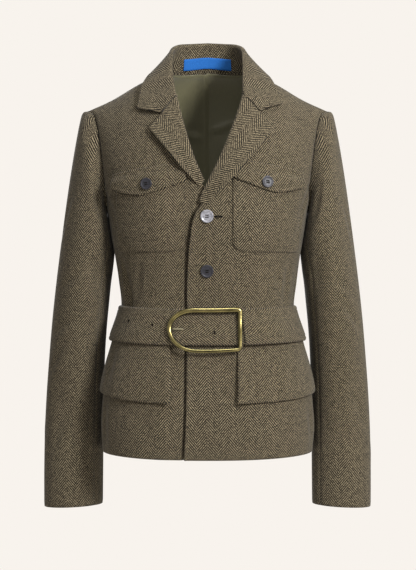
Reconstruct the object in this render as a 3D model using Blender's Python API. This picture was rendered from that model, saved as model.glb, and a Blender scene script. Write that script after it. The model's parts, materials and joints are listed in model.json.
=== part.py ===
"""Belted tweed blazer, filled out as when worn: each piece that a tailor cuts is its own wall of cloth.

Metres, +Z up. The front faces -Y and the wearer's left is +X. The origin lies between the shoulders,
at the height where the shoulder seams meet the neck.
"""
import math

import bpy
import numpy as np


def table(columns, *rows):
    """A short table as one array per named column. The first column is the one that it is read along."""
    return dict(zip(columns.split(), np.array(rows, float).T))


# Cloth and seams
WALL = 0.0020
TURNED_WALL = 0.0020
TRIM_WALL = 0.0016
BELT_WALL = 0.0036
LINING_WALL = 0.0010
LINING_INSET = 0.0020
LINING_GAP = 0.0008
LABEL_WALL = 0.0010
LABEL_LIFT = 0.0010
SEAM = 0.0004
TWEED = "5C5343"
TWEED_ROUGHNESS = 0.85
SATIN = "4A4632"
SATIN_ROUGHNESS = 0.4
BRASS = "9A8A45"
BRASS_ROUGHNESS = 0.3
RIBBON = "2B4A86"
HORN_ROUGHNESS = 0.35

# Torso: level sections from the hem to the underarm, then an arch over the shoulders
HEM = -0.586
UNDERARM = -0.218
SIDE_Y = 0.006
ROUND = 2.5
HEM_DIP = 0.005
SHOULDER_SPREAD = 0.032
FRONT_ARCH = 1.0
BACK_ARCH = 0.8
RIDGE_TOP = 0.0397
RIDGE_ROUND = 0.030
SHOULDER_SLOPE = 0.53
SHOULDER_DIP = 0.0030
SHOULDER_DIP_X = 0.148
SHOULDER_DIP_RUN = 0.045
TORSO = table(
    "height half_width front back",
    (-0.590, 0.1620, 0.1150, 0.1110),
    (-0.547, 0.1645, 0.1165, 0.1140),
    (-0.493, 0.1610, 0.1145, 0.1110),
    (-0.452, 0.1545, 0.1105, 0.1050),
    (-0.410, 0.1450, 0.1045, 0.0970),
    (-0.363, 0.1335, 0.0975, 0.0885),
    (-0.325, 0.1370, 0.1010, 0.0900),
    (-0.290, 0.1425, 0.1080, 0.0945),
    (-0.250, 0.1495, 0.1160, 0.1005),
    (-0.218, 0.1540, 0.1190, 0.1050),
)
# Rows of points below the underarm, closer together at the waist
SKIRT_ROWS = np.linspace(HEM, -0.490, 4)
WAIST_ROWS = np.linspace(-0.460, -0.345, 6)
CHEST_ROWS = np.linspace(-0.320, -0.255, 3)
ROW_HEIGHTS = np.concatenate([SKIRT_ROWS, WAIST_ROWS, CHEST_ROWS])
# Largest folds: waist darts and the slack that the belt gathers, by their angle round the body
FOLDS = table(
    "angle half_angle height half_height depth",
    (-62, 7, -0.330, 0.055, 0.0045),
    (58, 7, -0.330, 0.055, 0.0030),
    (-66, 9, -0.455, 0.050, 0.0030),
    (140, 9, -0.345, 0.090, 0.0040),
    (220, 9, -0.345, 0.090, 0.0045),
    (158, 8, -0.450, 0.060, 0.0030),
    (206, 8, -0.460, 0.060, 0.0030),
)
# Armhole: an oval seen from the side
ARMHOLE_FRONT = 0.042
ARMHOLE_BACK = 0.056
ARMHOLE_NEAREST = 0.3
SHOULDER_X = 0.186
ARM_STEPS = 9

# Front edge below the roll and roll line above it; the panel stops short of the roll by the setback
EDGE = table(
    "height left right setback",
    (-0.6000, -0.0368, 0.0350, 0.0000),
    (-0.5330, -0.0334, 0.0340, 0.0000),
    (-0.4300, -0.0322, 0.0330, 0.0000),
    (-0.3070, -0.0313, 0.0320, 0.0000),
    (-0.2574, -0.0274, 0.0300, 0.0000),
    (-0.2213, -0.0175, 0.0200, 0.0010),
    (-0.2060, -0.0125, 0.0120, 0.0058),
    (-0.1894, -0.0067, 0.0040, 0.0058),
    (-0.1775, -0.0010, -0.0022, 0.0058),
    (-0.1446, 0.0152, -0.0171, 0.0058),
    (-0.0990, 0.0340, -0.0321, 0.0058),
    (-0.0520, 0.0500, -0.0444, 0.0105),
    (-0.0360, 0.0540, -0.0490, 0.0105),
    (-0.0180, 0.0600, -0.0580, 0.0085),
    (-0.0016, 0.0660, -0.0660, 0.0060),
)
NECK_X = 0.072
NECK_DROP = 0.23
NECK_CURVE = 2.6
NECK_SETBACK = 0.006
# How far the right front sinks under the left
UNDERLAP = table(
    "height depth",
    (-0.600, 0.0028),
    (-0.440, 0.0028),
    (-0.380, 0.0028),
    (-0.330, 0.0032),
    (-0.270, 0.0054),
    (-0.225, 0.0072),
    (-0.180, 0.0070),
    (-0.140, 0.0034),
    (-0.095, 0.0000),
    (-0.060, 0.0000),
    (0.000, 0.0000),
)
UNDERLAP_X = -0.078
UNDERLAP_RUN = 0.040

# Lapels: roll height, outer edge and how far that edge rides up over the pocket flap
ROLL = 0.0045
TUCK = 0.008
LAPEL_BULGE = 0.0020
LAPEL_REST = 0.0010
LAPEL_COLUMNS = 7
ROLL_TURNS = 6
GORGE_GAP = 0.0018
LAPEL_LEFT = table(
    "roll_height outer_x outer_height ride",
    (-0.2060, -0.0010, -0.2105, 0.0000),
    (-0.1850, 0.0150, -0.1930, 0.0024),
    (-0.1550, 0.0380, -0.1695, 0.0058),
    (-0.1200, 0.0640, -0.1380, 0.0034),
    (-0.0800, 0.0840, -0.1140, 0.0004),
    (-0.0400, 0.0976, -0.0960, 0.0000),
)
LAPEL_RIGHT = table(
    "roll_height outer_x outer_height ride",
    (-0.1735, -0.0125, -0.1825, 0.0012),
    (-0.1480, -0.0350, -0.1590, 0.0042),
    (-0.1180, -0.0560, -0.1330, 0.0022),
    (-0.0840, -0.0725, -0.1130, 0.0004),
    (-0.0440, -0.0857, -0.0972, 0.0000),
)
# Collar: fold and outer edge from the centre back, 0, past the shoulder seam to the gorge, 1
COLLAR = table(
    "along fold_x fold_y fold_z edge_x edge_level",
    (0.00, 0.0000, 0.0500, 0.0520, 0.0000, 1.36),
    (0.15, 0.0270, 0.0450, 0.0500, 0.0360, 1.35),
    (0.30, 0.0440, 0.0300, 0.0465, 0.0660, 1.26),
    (0.45, 0.0530, 0.0080, 0.0380, 0.0850, 1.04),
    (0.65, 0.0550, -0.0250, 0.0160, 0.0975, 0.80),
    (0.85, 0.0535, -0.0530, -0.0150, 0.1035, 0.66),
    (1.00, 0.0500, -0.0720, -0.0420, 0.1070, 0.58),
)
COLLAR_SHOULDER = 0.45
COLLAR_LEAN = 0.003
FALL_LIFT = 0.0036
GORGE_HEIGHT = {1: -0.040, -1: -0.044}
NOTCH_SHARE = 0.57
GORGE_FROM = 0.72
GORGE_STAND = 0.35
STAND_ROWS = 3
COLLAR_COLUMNS = 7
COLLAR_POINT = {1: (0.1110, -0.0575), -1: (-0.1035, -0.0665)}
LABEL_HALF_WIDTH = 0.039
LABEL_FROM, LABEL_TO = 0.12, 0.55

# Sleeves: inner and outer lines of each ring, and its middle and half depth front to back
SLEEVE = table(
    "ring inner_x inner_z outer_x outer_z middle_y half_depth",
    (0, 0.1540, -0.2180, 0.1860, -0.0595, 0.013, 0.049),
    (1, 0.1562, -0.2194, 0.1925, -0.0612, 0.013, 0.053),
    (2, 0.1552, -0.2260, 0.1968, -0.0690, 0.013, 0.056),
    (3, 0.1527, -0.2370, 0.2005, -0.0870, 0.013, 0.059),
    (4, 0.1498, -0.2560, 0.2058, -0.1150, 0.014, 0.061),
    (5, 0.1462, -0.2780, 0.2120, -0.1520, 0.015, 0.061),
    (6, 0.1470, -0.3020, 0.2182, -0.1930, 0.016, 0.060),
    (7, 0.1506, -0.3280, 0.2245, -0.2380, 0.018, 0.058),
    (8, 0.1538, -0.3580, 0.2310, -0.2850, 0.022, 0.0565),
    (9, 0.1574, -0.3930, 0.2375, -0.3350, 0.027, 0.0540),
    (10, 0.1604, -0.4330, 0.2436, -0.3880, 0.033, 0.0512),
    (11, 0.1624, -0.4770, 0.2486, -0.4420, 0.039, 0.0485),
    (12, 0.1635, -0.5240, 0.2530, -0.4970, 0.043, 0.0462),
    (13, 0.1641, -0.5735, 0.2560, -0.5545, 0.045, 0.0443),
    (14, 0.1644, -0.6260, 0.2572, -0.6180, 0.044, 0.0424),
    (15, 0.1647, -0.6725, 0.2570, -0.6770, 0.042, 0.0410),
)
CAP_RINGS = 3.0
CAP_ROWS = (0, 0.5, 1.2)
FRONT_SEAM_STEP = 2
BACK_SEAM_STEP = 3
SLEEVE_FOLDS = table(
    "ring half_ring angle half_angle depth",
    (3.6, 1.4, 70, 26, 0.0040),
    (7.2, 1.2, 60, 34, 0.0040),
    (9.0, 1.0, 285, 40, 0.0035),
    (12.0, 1.1, 120, 36, 0.0025),
)

# Breast pockets and flaps, on the front panels
POCKET_TOP = -0.174
POCKET_BOTTOM = -0.2805
POCKET_CORNER = 0.013
POCKET_LIFT = 0.0010
POCKETS = table(
    "side inner outer flap_inner flap_outer flap_top",
    (-1, -0.0350, -0.1365, -0.0325, -0.1400, -0.1545),
    (1, 0.0375, 0.1385, 0.0370, 0.1420, -0.1500),
)
POCKET_COLUMNS, POCKET_ROWS = 11, 7
FLAP_SIDE = 0.0285
FLAP_POINT = 0.0125
FLAP_CURVE = 1.5
FLAP_COLUMNS, FLAP_ROWS = 13, 6
FLAP_RISE_FROM = -0.157
FLAP_RISE = 0.013
FLAP_CLEAR = 0.0006

# Belt, lower flaps
BELT_TOP = -0.3625
BELT_WIDTH = 0.0530
BELT_DIP = 0.0045
BELT_LIFT_TOP = 0.0012
BELT_LIFT_BOTTOM = 0.0040
BELT_START_X = 0.0523
BELT_TUCK = 0.025
BELT_EASE = 0.060
BELT_COLUMNS = 56
BELT_HOLE = 0.0019
HOLE_DEPTH = 2
BELT_HOLES = table(
    "x height",
    (-0.1150, -0.3854),
    (-0.0802, -0.3909),
    (0.0104, -0.4017),
)
LOWER_FLAPS = {1: 0.0450, -1: -0.0555}
LOWER_FLAP_TOP = -0.4085
LOWER_FLAP_INNER = -0.5045
LOWER_FLAP_OUTER = -0.4930
LOWER_FLAP_END = math.radians(84)
LOWER_FLAP_FLARE = 0.0035
LOWER_FLAP_INNER_FLARE = 0.35
LOWER_FLAP_CURVE = 1.6
LOWER_FLAP_COLUMNS, LOWER_FLAP_ROWS = 11, 8

# Buckle: a frame with a round end, bent to the belt, and the prong fixed on that end
ROD = 0.0027
ROD_SIDES = 8
BUCKLE_BAR_X = 0.0473
BUCKLE_ROUND_X = -0.0548
BUCKLE_ROUND_RUN = 0.037
BUCKLE_Z = -0.3972
BUCKLE_HALF = 0.0300
BUCKLE_BOW = 0.0022
BUCKLE_CORNER = 0.0045
BUCKLE_ROUND_STEPS = 15
BUCKLE_LIFT = 0.0012
PRONG = 0.0015
PRONG_END_X = -0.0370
PRONG_TAPER = table(
    "along share",
    (0.00, 1.00),
    (0.60, 0.90),
    (0.90, 0.75),
    (1.00, 0.40),
)

# Buttons: name, side, place across and height, what it lies on, radius and colour
BUTTON_SIDES = 16
BUTTONS = (
    ("button_front_upper", 1, -0.0007, -0.2279, "front", 0.0098, "8C9096"),
    ("button_front_lower", 1, -0.0007, -0.3093, "front", 0.0098, "34363A"),
    ("button_flap_left", 1, 0.0870, -0.1768, "flap", 0.0088, "3A3B3E"),
    ("button_flap_right", -1, -0.0886, -0.1798, "flap", 0.0088, "3A3B3E"),
)
HOLE = 0.0011
HOLE_AT = 0.0021
HOLE_RUN = 0.0025


def read(rows, column, at):
    """A smooth curve through one column of a table, read along its first column."""
    key = next(iter(rows.values()))
    value = rows[column]
    at = np.asarray(at, float)
    slope = np.gradient(value, key)
    i = np.clip(np.searchsorted(key, at, side="right") - 1, 0, len(key) - 2)
    run = key[i + 1] - key[i]
    t = np.clip((at - key[i]) / run, 0, 1)
    start = (1 + 2 * t) * (1 - t) ** 2 * value[i] + t * (1 - t) ** 2 * run * slope[i]
    return start + t * t * (3 - 2 * t) * value[i + 1] + t * t * (t - 1) * run * slope[i + 1]


def smooth(t):
    t = np.clip(t, 0, 1)
    return t * t * (3 - 2 * t)


def bump(t):
    """1 in the middle of a fold, 0 from one half width away."""
    return np.cos(np.clip(t, -1, 1) * math.pi / 2) ** 2


def unit(vectors):
    return vectors / np.linalg.norm(vectors, axis=-1, keepdims=True)


def ridge(x):
    """Height of the shoulder seam."""
    dip = SHOULDER_DIP * bump((np.abs(x) - SHOULDER_DIP_X) / SHOULDER_DIP_RUN)
    return RIDGE_TOP - SHOULDER_SLOPE * np.sqrt(x * x + RIDGE_ROUND**2) - dip


def rise_of(level):
    return np.clip(level, 0, 1) * math.pi / 2


def height_of(level):
    return UNDERARM + np.minimum(level, 0) * (UNDERARM - HEM)


def half_width(level):
    return read(TORSO, "half_width", height_of(level)) + SHOULDER_SPREAD * np.sin(rise_of(level))


def torso(turn, level):
    """A point outside the body: turn 0 is the centre front; level -1 is the hem, 0 the underarm, 1 the top."""
    sine, cosine = np.sin(turn), np.cos(turn)
    height, rise = height_of(level), rise_of(level)
    x = half_width(level) * np.sign(sine) * np.abs(sine) ** (2 / ROUND)
    front = read(TORSO, "front", height) * np.cos(rise) ** FRONT_ARCH
    back = read(TORSO, "back", height) * np.cos(rise) ** BACK_ARCH
    y = SIDE_Y - np.sign(cosine) * np.where(cosine > 0, front, back) * np.abs(cosine) ** (2 / ROUND)
    dip = HEM_DIP * np.minimum(level, 0) ** 4 * np.maximum(cosine, 0) ** 2
    z = height + (ridge(x) - UNDERARM) * np.sin(rise) - dip
    return np.stack(np.broadcast_arrays(x, y, z), axis=-1)


def torso_normal(turn, level):
    step = 1e-4
    top = np.minimum(level + step, 1.0)
    around = torso(turn + step, level) - torso(turn - step, level)
    up = torso(turn, top) - torso(turn, top - 2 * step)
    return unit(np.cross(around, up))


def fold_depth(turn, level):
    angle = np.degrees(turn) % 360
    height = height_of(level)
    depth = 0.0
    for middle, half, at, run, most in zip(*FOLDS.values()):
        off = (angle - middle + 180) % 360 - 180
        depth = depth + most * bump(off / half) * bump((height - at) / run)
    return depth


def turn_at(x, level):
    share = np.clip(np.abs(x) / half_width(level), 0, 1)
    return np.sign(x) * np.arcsin(share ** (ROUND / 2))


def level_at(x, z):
    sine = (z - UNDERARM) / (ridge(x) - UNDERARM)
    upper = np.arcsin(np.clip(sine, 0, 1)) * 2 / math.pi
    return np.where(sine > 0, upper, (z - UNDERARM) / (UNDERARM - HEM))


def underlap(side, x, z):
    if side > 0:
        return 0.0 * x
    return read(UNDERLAP, "depth", z) * smooth((x - UNDERLAP_X) / UNDERLAP_RUN)


def skin(turn, level, lift=0.0, side=1):
    """Points of the cloth's outside, moved out by the lift, and its normals."""
    point = torso(turn, level)
    normal = torso_normal(turn, level)
    sunk = fold_depth(turn, level) + underlap(side, point[..., 0], point[..., 2])
    return point + normal * np.asarray(lift - sunk)[..., None], normal


def laid(side, x, z, lift):
    """Points lying on a front panel, by their place as seen from the front."""
    x, z = np.broadcast_arrays(np.asarray(x, float), np.asarray(z, float))
    level = level_at(x, z)
    return skin(turn_at(x, level), level, lift, side)


def spread(start, end, level, count):
    """Angles evenly spaced along the cloth from one angle to another."""
    fine = np.linspace(start, end, 121)
    line = torso(fine, level(fine))
    along = np.concatenate([[0], np.cumsum(np.linalg.norm(np.diff(line, axis=0), axis=1))])
    return np.interp(np.linspace(0, along[-1], count), along, fine)


def drawn_in(grid, sides, by=SEAM / 2):
    """The grid with the named sides moved in by half a seam gap."""
    grid = grid.copy()
    lines = {
        "left": (grid[:, 0], grid[:, 1]),
        "right": (grid[:, -1], grid[:, -2]),
        "bottom": (grid[0], grid[1]),
        "top": (grid[-1], grid[-2]),
    }
    for side in sides.split():
        edge, inside = lines[side]
        edge += unit(inside - edge) * by
    return grid


def grid_normals(grid):
    return unit(np.cross(np.gradient(grid, axis=1), np.gradient(grid, axis=0)))


def material(name, colour, roughness=TWEED_ROUGHNESS, metallic=0.0):
    made = bpy.data.materials.new(name)
    made.use_nodes = True
    shader = made.node_tree.nodes["Principled BSDF"]
    srgb = [int(colour[i : i + 2], 16) / 255 for i in (0, 2, 4)]
    linear = [c / 12.92 if c <= 0.04045 else ((c + 0.055) / 1.055) ** 2.4 for c in srgb]
    shader.inputs["Base Color"].default_value = (*linear, 1)
    shader.inputs["Roughness"].default_value = roughness
    shader.inputs["Metallic"].default_value = metallic
    return made


def add(name, points, faces, colour, roughness=TWEED_ROUGHNESS, metallic=0.0):
    mesh = bpy.data.meshes.new(name)
    mesh.from_pydata(np.asarray(points).reshape(-1, 3).tolist(), [], faces)
    mesh.materials.append(material(name, colour, roughness, metallic))
    piece = bpy.data.objects.new(name, mesh)
    bpy.context.scene.collection.objects.link(piece)
    return piece


def wall(name, outer, inner, colour, roughness=TWEED_ROUGHNESS):
    """A closed wall between two grids. Seen from outside, columns go to the right and rows upward."""
    rows, columns = outer.shape[:2]
    count = rows * columns
    index = np.arange(count).reshape(rows, columns)
    faces = []
    for i in range(rows - 1):
        for j in range(columns - 1):
            a, b = int(index[i, j]), int(index[i, j + 1])
            d, c = int(index[i + 1, j]), int(index[i + 1, j + 1])
            faces += [(a, b, c), (a, c, d)]
            faces += [(count + c, count + b, count + a), (count + d, count + c, count + a)]
    rim = [*index[0, :-1], *index[:-1, -1], *index[-1, :0:-1], *index[:0:-1, 0]]
    for a, b in zip(rim, rim[1:] + rim[:1]):
        faces.append((int(b), int(a), int(a) + count, int(b) + count))
    return add(name, np.concatenate([outer.reshape(-1, 3), inner.reshape(-1, 3)]), faces, colour, roughness)


def cloth(name, outer, normals, thickness, seams="", colour=TWEED, roughness=TWEED_ROUGHNESS):
    inner = outer - normals * thickness
    return wall(name, drawn_in(outer, seams), drawn_in(inner, seams), colour, roughness)


def armhole(back):
    """Angle and level of the armhole's edge at even steps from the underarm to the shoulder."""
    level = np.linspace(0, 1, 161)
    reach = ARMHOLE_BACK if back else ARMHOLE_FRONT
    top = ridge(SHOULDER_X)
    middle, half = (top + UNDERARM) / 2, (top - UNDERARM) / 2
    side = math.pi / 2
    inside = np.full_like(level, side)
    outside = np.full_like(level, math.pi - ARMHOLE_NEAREST if back else ARMHOLE_NEAREST)
    for _ in range(50):
        turn = (inside + outside) / 2
        point = torso(turn, level)
        beyond = ((point[:, 1] - SIDE_Y) / reach) ** 2 + ((point[:, 2] - middle) / half) ** 2 > 1
        outside = np.where(beyond, turn, outside)
        inside = np.where(beyond, inside, turn)
    point = torso(inside, level)
    swing = np.arctan2(np.abs(point[:, 1] - SIDE_Y) / reach, (middle - point[:, 2]) / half)
    swing[0], swing[-1] = 0, math.pi
    steps = np.linspace(0, math.pi, ARM_STEPS + 1)
    levels = np.interp(steps, swing, level)
    turns = np.interp(steps, swing, inside)
    turns[0] = turns[-1] = side
    return turns, levels


FRONT_TURNS, FRONT_LEVELS = armhole(False)
BACK_TURNS, BACK_LEVELS = armhole(True)
LOW_LEVELS = (ROW_HEIGHTS - UNDERARM) / (UNDERARM - HEM)
SIDE_TURN = math.pi / 2
BACK_COLUMNS = 17


def edge_x(side, level):
    """Where the front panel stops, at a level."""
    x = 0.03 * side
    for _ in range(20):
        z = height_of(level) + (ridge(x) - UNDERARM) * np.sin(rise_of(level))
        x = roll_x(side, z) + side * read(EDGE, "setback", z)
    return x


def roll_x(side, z):
    return read(EDGE, "left" if side > 0 else "right", z)


def front(side, columns=11):
    name = "front_left" if side > 0 else "front_right"
    turns, levels = [], []
    outer_turns = np.concatenate([np.full(len(LOW_LEVELS), SIDE_TURN), FRONT_TURNS])
    for level, outer in zip(np.concatenate([LOW_LEVELS, FRONT_LEVELS]), outer_turns):
        inner = turn_at(edge_x(side, level), level)
        start, end = (inner, outer) if side > 0 else (-outer, inner)
        turns.append(spread(start, end, lambda fine: np.full_like(fine, level), columns))
        levels.append(np.full(columns, level))
    points, normals = skin(np.array(turns), np.array(levels), 0.0, side)
    cloth(name, points, normals, WALL, "top right" if side > 0 else "top left")


def neck_share(x):
    """How much of the shoulder level is left at the back neck."""
    return 1 - NECK_DROP * (1 - np.minimum(np.abs(x) / NECK_X, 1) ** NECK_CURVE)


def back_grid(columns, levels, outer_turns):
    turns, heights = [], []
    for level, outer in zip(levels, outer_turns):
        def dropped(fine, level=level):
            x = half_width(level) * np.abs(np.sin(fine)) ** (2 / ROUND)
            return level * np.where(level > 0, neck_share(x), 1.0)

        turn = spread(outer, 2 * math.pi - outer, dropped, columns)
        turns.append(turn)
        heights.append(dropped(turn))
    return np.array(turns), np.array(heights)


def back():
    levels = np.concatenate([LOW_LEVELS, BACK_LEVELS])
    outer = np.concatenate([np.full(len(LOW_LEVELS), SIDE_TURN), BACK_TURNS])
    points, normals = skin(*back_grid(BACK_COLUMNS, levels, outer))
    cloth("back", points, normals, WALL, "left right top")


def lining():
    """Satin inside the back, from the neck to just above the hem."""
    levels = np.concatenate([LOW_LEVELS, BACK_LEVELS])[1:]
    outer = np.concatenate([np.full(len(LOW_LEVELS), SIDE_TURN), BACK_TURNS])[1:]
    points, normals = skin(*back_grid(BACK_COLUMNS, levels, outer), -WALL - LINING_GAP)
    points = drawn_in(points, "left right top bottom", LINING_INSET)
    cloth("lining_back", points, normals, LINING_WALL, "", SATIN, SATIN_ROUGHNESS)


def lapel_line(side, z, end_x, end_z, ride, shares):
    """One line of a lapel: from under the front panel, round the roll and over the chest to each share."""
    x = float(roll_x(side, z))
    start, normal = laid(side, x, z, 0.0)
    end, _ = laid(side, end_x, end_z, 0.0)
    across = end - start
    across = unit(across - normal * (across @ normal))
    centre = start + across * ROLL - normal * WALL / 2
    tuck = [centre - normal * ROLL + across * TUCK * s for s in (1.0, 0.5)]
    angle = np.linspace(0, math.pi, ROLL_TURNS)[:, None]
    fold = centre - normal * ROLL * np.cos(angle) - across * ROLL * np.sin(angle)
    first = ROLL / np.linalg.norm(end - start)
    t = first + (1 - first) * shares
    high, low = ROLL - WALL / 2, LAPEL_REST + TURNED_WALL + ride
    lift = high + (low - high) * t + LAPEL_BULGE * bump(2 * t - 1)
    over, _ = laid(side, x + (end_x - x) * t, z + (end_z - z) * t, lift)
    return tuck, fold, over


def lapel_rows(side):
    return LAPEL_LEFT if side > 0 else LAPEL_RIGHT


def lapel(side, rows=12):
    table_rows = lapel_rows(side)
    heights = table_rows["roll_height"]
    at = np.interp(np.linspace(0, 1, rows), np.linspace(0, 1, len(heights)), heights)
    ends = [read(table_rows, name, at) for name in ("outer_x", "outer_height", "ride")]
    shares = np.linspace(0, 1, LAPEL_COLUMNS)[1:]
    grid = np.array([np.concatenate(lapel_line(side, *line, shares)) for line in zip(at, *ends)])
    if side < 0:
        grid = grid[:, ::-1]
    grid = drawn_in(grid, "top", GORGE_GAP / 2)
    cloth("lapel_left" if side > 0 else "lapel_right", grid, grid_normals(grid), TURNED_WALL)


def shoulders(x, level, lift):
    """A point over the shoulder: level 0 to 1 climbs the front, 1 to 2 goes down the back."""
    behind = level > 1
    height = np.where(behind, 2 - level, level)
    turn = turn_at(x, height)
    half_turn = np.where(x < 0, -math.pi, math.pi)
    return skin(np.where(behind, half_turn - turn, turn), height, lift)


def neckline(side, along):
    """Distance from the middle, and level over the shoulder, of the seam that holds the collar."""
    if along <= COLLAR_SHOULDER:
        x = side * max(NECK_X * along / COLLAR_SHOULDER, 1e-5)
        return x, 2 - float(neck_share(x))
    share = (along - COLLAR_SHOULDER) / (1 - COLLAR_SHOULDER)
    z = ridge(NECK_X) + (GORGE_HEIGHT[side] - ridge(NECK_X)) * share
    x = float(roll_x(side, z)) + side * NECK_SETBACK
    return x, float(level_at(x, z))


def gorge_line(side):
    """The collar's end: along the lapel's top edge as far as the notch, then out to the collar point."""
    top = GORGE_HEIGHT[side]
    end_x, end_z = (lapel_rows(side)[name][-1] for name in ("outer_x", "outer_height"))
    half = COLLAR_COLUMNS // 2
    shares = np.linspace(0, NOTCH_SHARE, half + 1)[1:]
    _, fold, over = lapel_line(side, top, end_x, end_z, 0.0, shares)
    roll = float(roll_x(side, top))
    notch = np.array([roll + (end_x - roll) * NOTCH_SHARE, top + (end_z - top) * NOTCH_SHARE])
    t = np.linspace(0, 1, COLLAR_COLUMNS - half)[1:]
    plan = notch + (np.array(COLLAR_POINT[side]) - notch) * t[:, None]
    point = laid(side, plan[:, 0], plan[:, 1], FALL_LIFT)[0]
    lift = over[-1] - laid(side, *notch, FALL_LIFT)[0]
    point = point + lift * (1 - t)[:, None]
    stand_part = np.linspace(0, GORGE_STAND, STAND_ROWS + 1)[:-1]
    round_part = np.linspace(GORGE_STAND, 1, ROLL_TURNS)
    cut = np.concatenate([stand_part, round_part]) * (ROLL_TURNS - 1)
    bend = np.stack([np.interp(cut, range(ROLL_TURNS), axis) for axis in fold.T], axis=-1)
    return np.concatenate([bend, over, point])


def collar_section(side, along):
    """One section of the collar: up the stand, round the fold and down the fall."""
    x, level = neckline(side, along)
    seam = shoulders(np.float64(x), np.float64(level), SEAM)[0]
    fold = np.array([read(COLLAR, name, along) for name in ("fold_x", "fold_y", "fold_z")])
    fold[0] *= side
    t = np.linspace(0, 1, COLLAR_COLUMNS)
    lean = COLLAR_LEAN * smooth((along - COLLAR_SHOULDER) / COLLAR_SHOULDER)
    end_x, end_level = side * read(COLLAR, "edge_x", along) + lean, read(COLLAR, "edge_level", along)
    under = shoulders(x + (end_x - x) * t, level + (end_level - level) * t, FALL_LIFT)[0]
    apex = unit(fold - (seam + under[-1]) / 2)
    out = under[-1] - seam
    out = unit(out - apex * (out @ apex))
    centre = fold - apex * ROLL
    angle = np.linspace(0, math.pi, ROLL_TURNS)[:, None]
    bend = centre - out * ROLL * np.cos(angle) + apex * ROLL * np.sin(angle)
    stand = [seam + (bend[0] - seam) * s / STAND_ROWS for s in range(STAND_ROWS)]
    fall = under + (bend[-1] - under[0]) * (1 - t)[:, None]
    free = np.concatenate([stand, bend, fall[1:]])
    return free + (gorge_line(side) - free) * smooth((along - GORGE_FROM) / (1 - GORGE_FROM))


def collar(half_steps=12):
    along = np.linspace(1, 0, half_steps + 1)
    left = [collar_section(1, a) for a in along]
    right = [collar_section(-1, a) for a in along[-2::-1]]
    grid = drawn_in(np.array(left + right), "top bottom", GORGE_GAP / 2)
    cloth("collar", grid, grid_normals(grid), TURNED_WALL)


def label():
    """A plain ribbon on the inside of the stand."""
    rows = []
    for x in np.linspace(LABEL_HALF_WIDTH, -LABEL_HALF_WIDTH, 9):
        side = 1 if x >= 0 else -1
        stand = collar_section(side, abs(x) / NECK_X * COLLAR_SHOULDER)
        rows.append([stand[0] + (stand[STAND_ROWS] - stand[0]) * s for s in (LABEL_FROM, LABEL_TO)])
    face = np.array(rows)
    normals = grid_normals(face)
    wall("label", face + normals * (LABEL_LIFT + LABEL_WALL), face + normals * LABEL_LIFT, RIBBON)


def sleeve_ring(ring, step):
    """A point of the left sleeve: step 0 is the underarm, then round by the front, the top and the back."""
    values = {name: read(SLEEVE, name, ring) for name in list(SLEEVE)[1:]}
    swing = step * math.pi / ARM_STEPS
    point = oval(values, swing)
    over = np.where(step <= ARM_STEPS, step, 2 * ARM_STEPS - step)
    every = range(ARM_STEPS + 1)
    front_edge = torso(np.interp(over, every, FRONT_TURNS), np.interp(over, every, FRONT_LEVELS))
    back_edge = torso(np.interp(over, every, BACK_TURNS), np.interp(over, every, BACK_LEVELS))
    hole = np.where((step <= ARM_STEPS)[..., None], front_edge, back_edge)
    first = oval({name: SLEEVE[name][0] for name in list(SLEEVE)[1:]}, swing)
    return point + (hole - first) * (1 - smooth(ring / CAP_RINGS))[..., None]


def oval(values, swing):
    inner_share = (1 + np.cos(swing)) / 2
    x = values["outer_x"] + (values["inner_x"] - values["outer_x"]) * inner_share
    y = values["middle_y"] - values["half_depth"] * np.sin(swing)
    z = values["outer_z"] + (values["inner_z"] - values["outer_z"]) * inner_share
    return np.stack(np.broadcast_arrays(x, y, z), axis=-1)


def sleeve_folds(ring, step):
    depth = 0.0
    angle = step * 180 / ARM_STEPS
    for at, half, middle, half_angle, most in zip(*SLEEVE_FOLDS.values()):
        off = (angle - middle + 180) % 360 - 180
        depth = depth + most * bump((ring - at) / half) * bump(off / half_angle)
    return depth


def sleeves(rings=19):
    around = 2 * ARM_STEPS
    last = SLEEVE["ring"][-1]
    ring = np.concatenate([CAP_ROWS, np.linspace(2, last, rings - len(CAP_ROWS))])[::-1]
    rows, steps = np.meshgrid(ring, np.arange(-1, around + 2), indexing="ij")
    grid = sleeve_ring(rows, steps % around)
    normals = grid_normals(grid)
    grid = grid - normals * sleeve_folds(rows, steps % around)[..., None] * smooth(rows - 1)[..., None]
    grid, normals = grid[:, 1:-1], normals[:, 1:-1]
    grid = drawn_in(grid, "top", SEAM)
    back_seam = around - BACK_SEAM_STEP
    top = slice(FRONT_SEAM_STEP, back_seam + 1)
    under = [*range(back_seam, around), *range(FRONT_SEAM_STEP + 1)]
    for side, word in ((1, "left"), (-1, "right")):
        for name, columns in ((f"sleeve_top_{word}", top), (f"sleeve_under_{word}", under)):
            face, facing = grid[:, columns] * (side, 1, 1), normals[:, columns] * (side, 1, 1)
            if side < 0:
                face, facing = face[:, ::-1], facing[:, ::-1]
            cloth(name, face, facing, WALL, "left right")


def patch(side, inner, outer, bottom, top, lift, columns, rows):
    """A grid on a front panel between two lines; bottom and top are functions of the share across."""
    u, v = np.meshgrid(np.linspace(0, 1, columns), np.linspace(0, 1, rows))
    z = bottom(u) + (top(u) - bottom(u)) * v
    level = level_at((inner + outer) / 2, z)
    start = turn_at(inner, level)
    turn = start + (turn_at(outer, level) - start) * u
    points, normals = skin(turn, level, lift(z), side)
    if side < 0:
        points, normals = points[:, ::-1], normals[:, ::-1]
    return points, normals


def pocket_size(side, name):
    return float(POCKETS[name][1 if side > 0 else 0])


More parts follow.
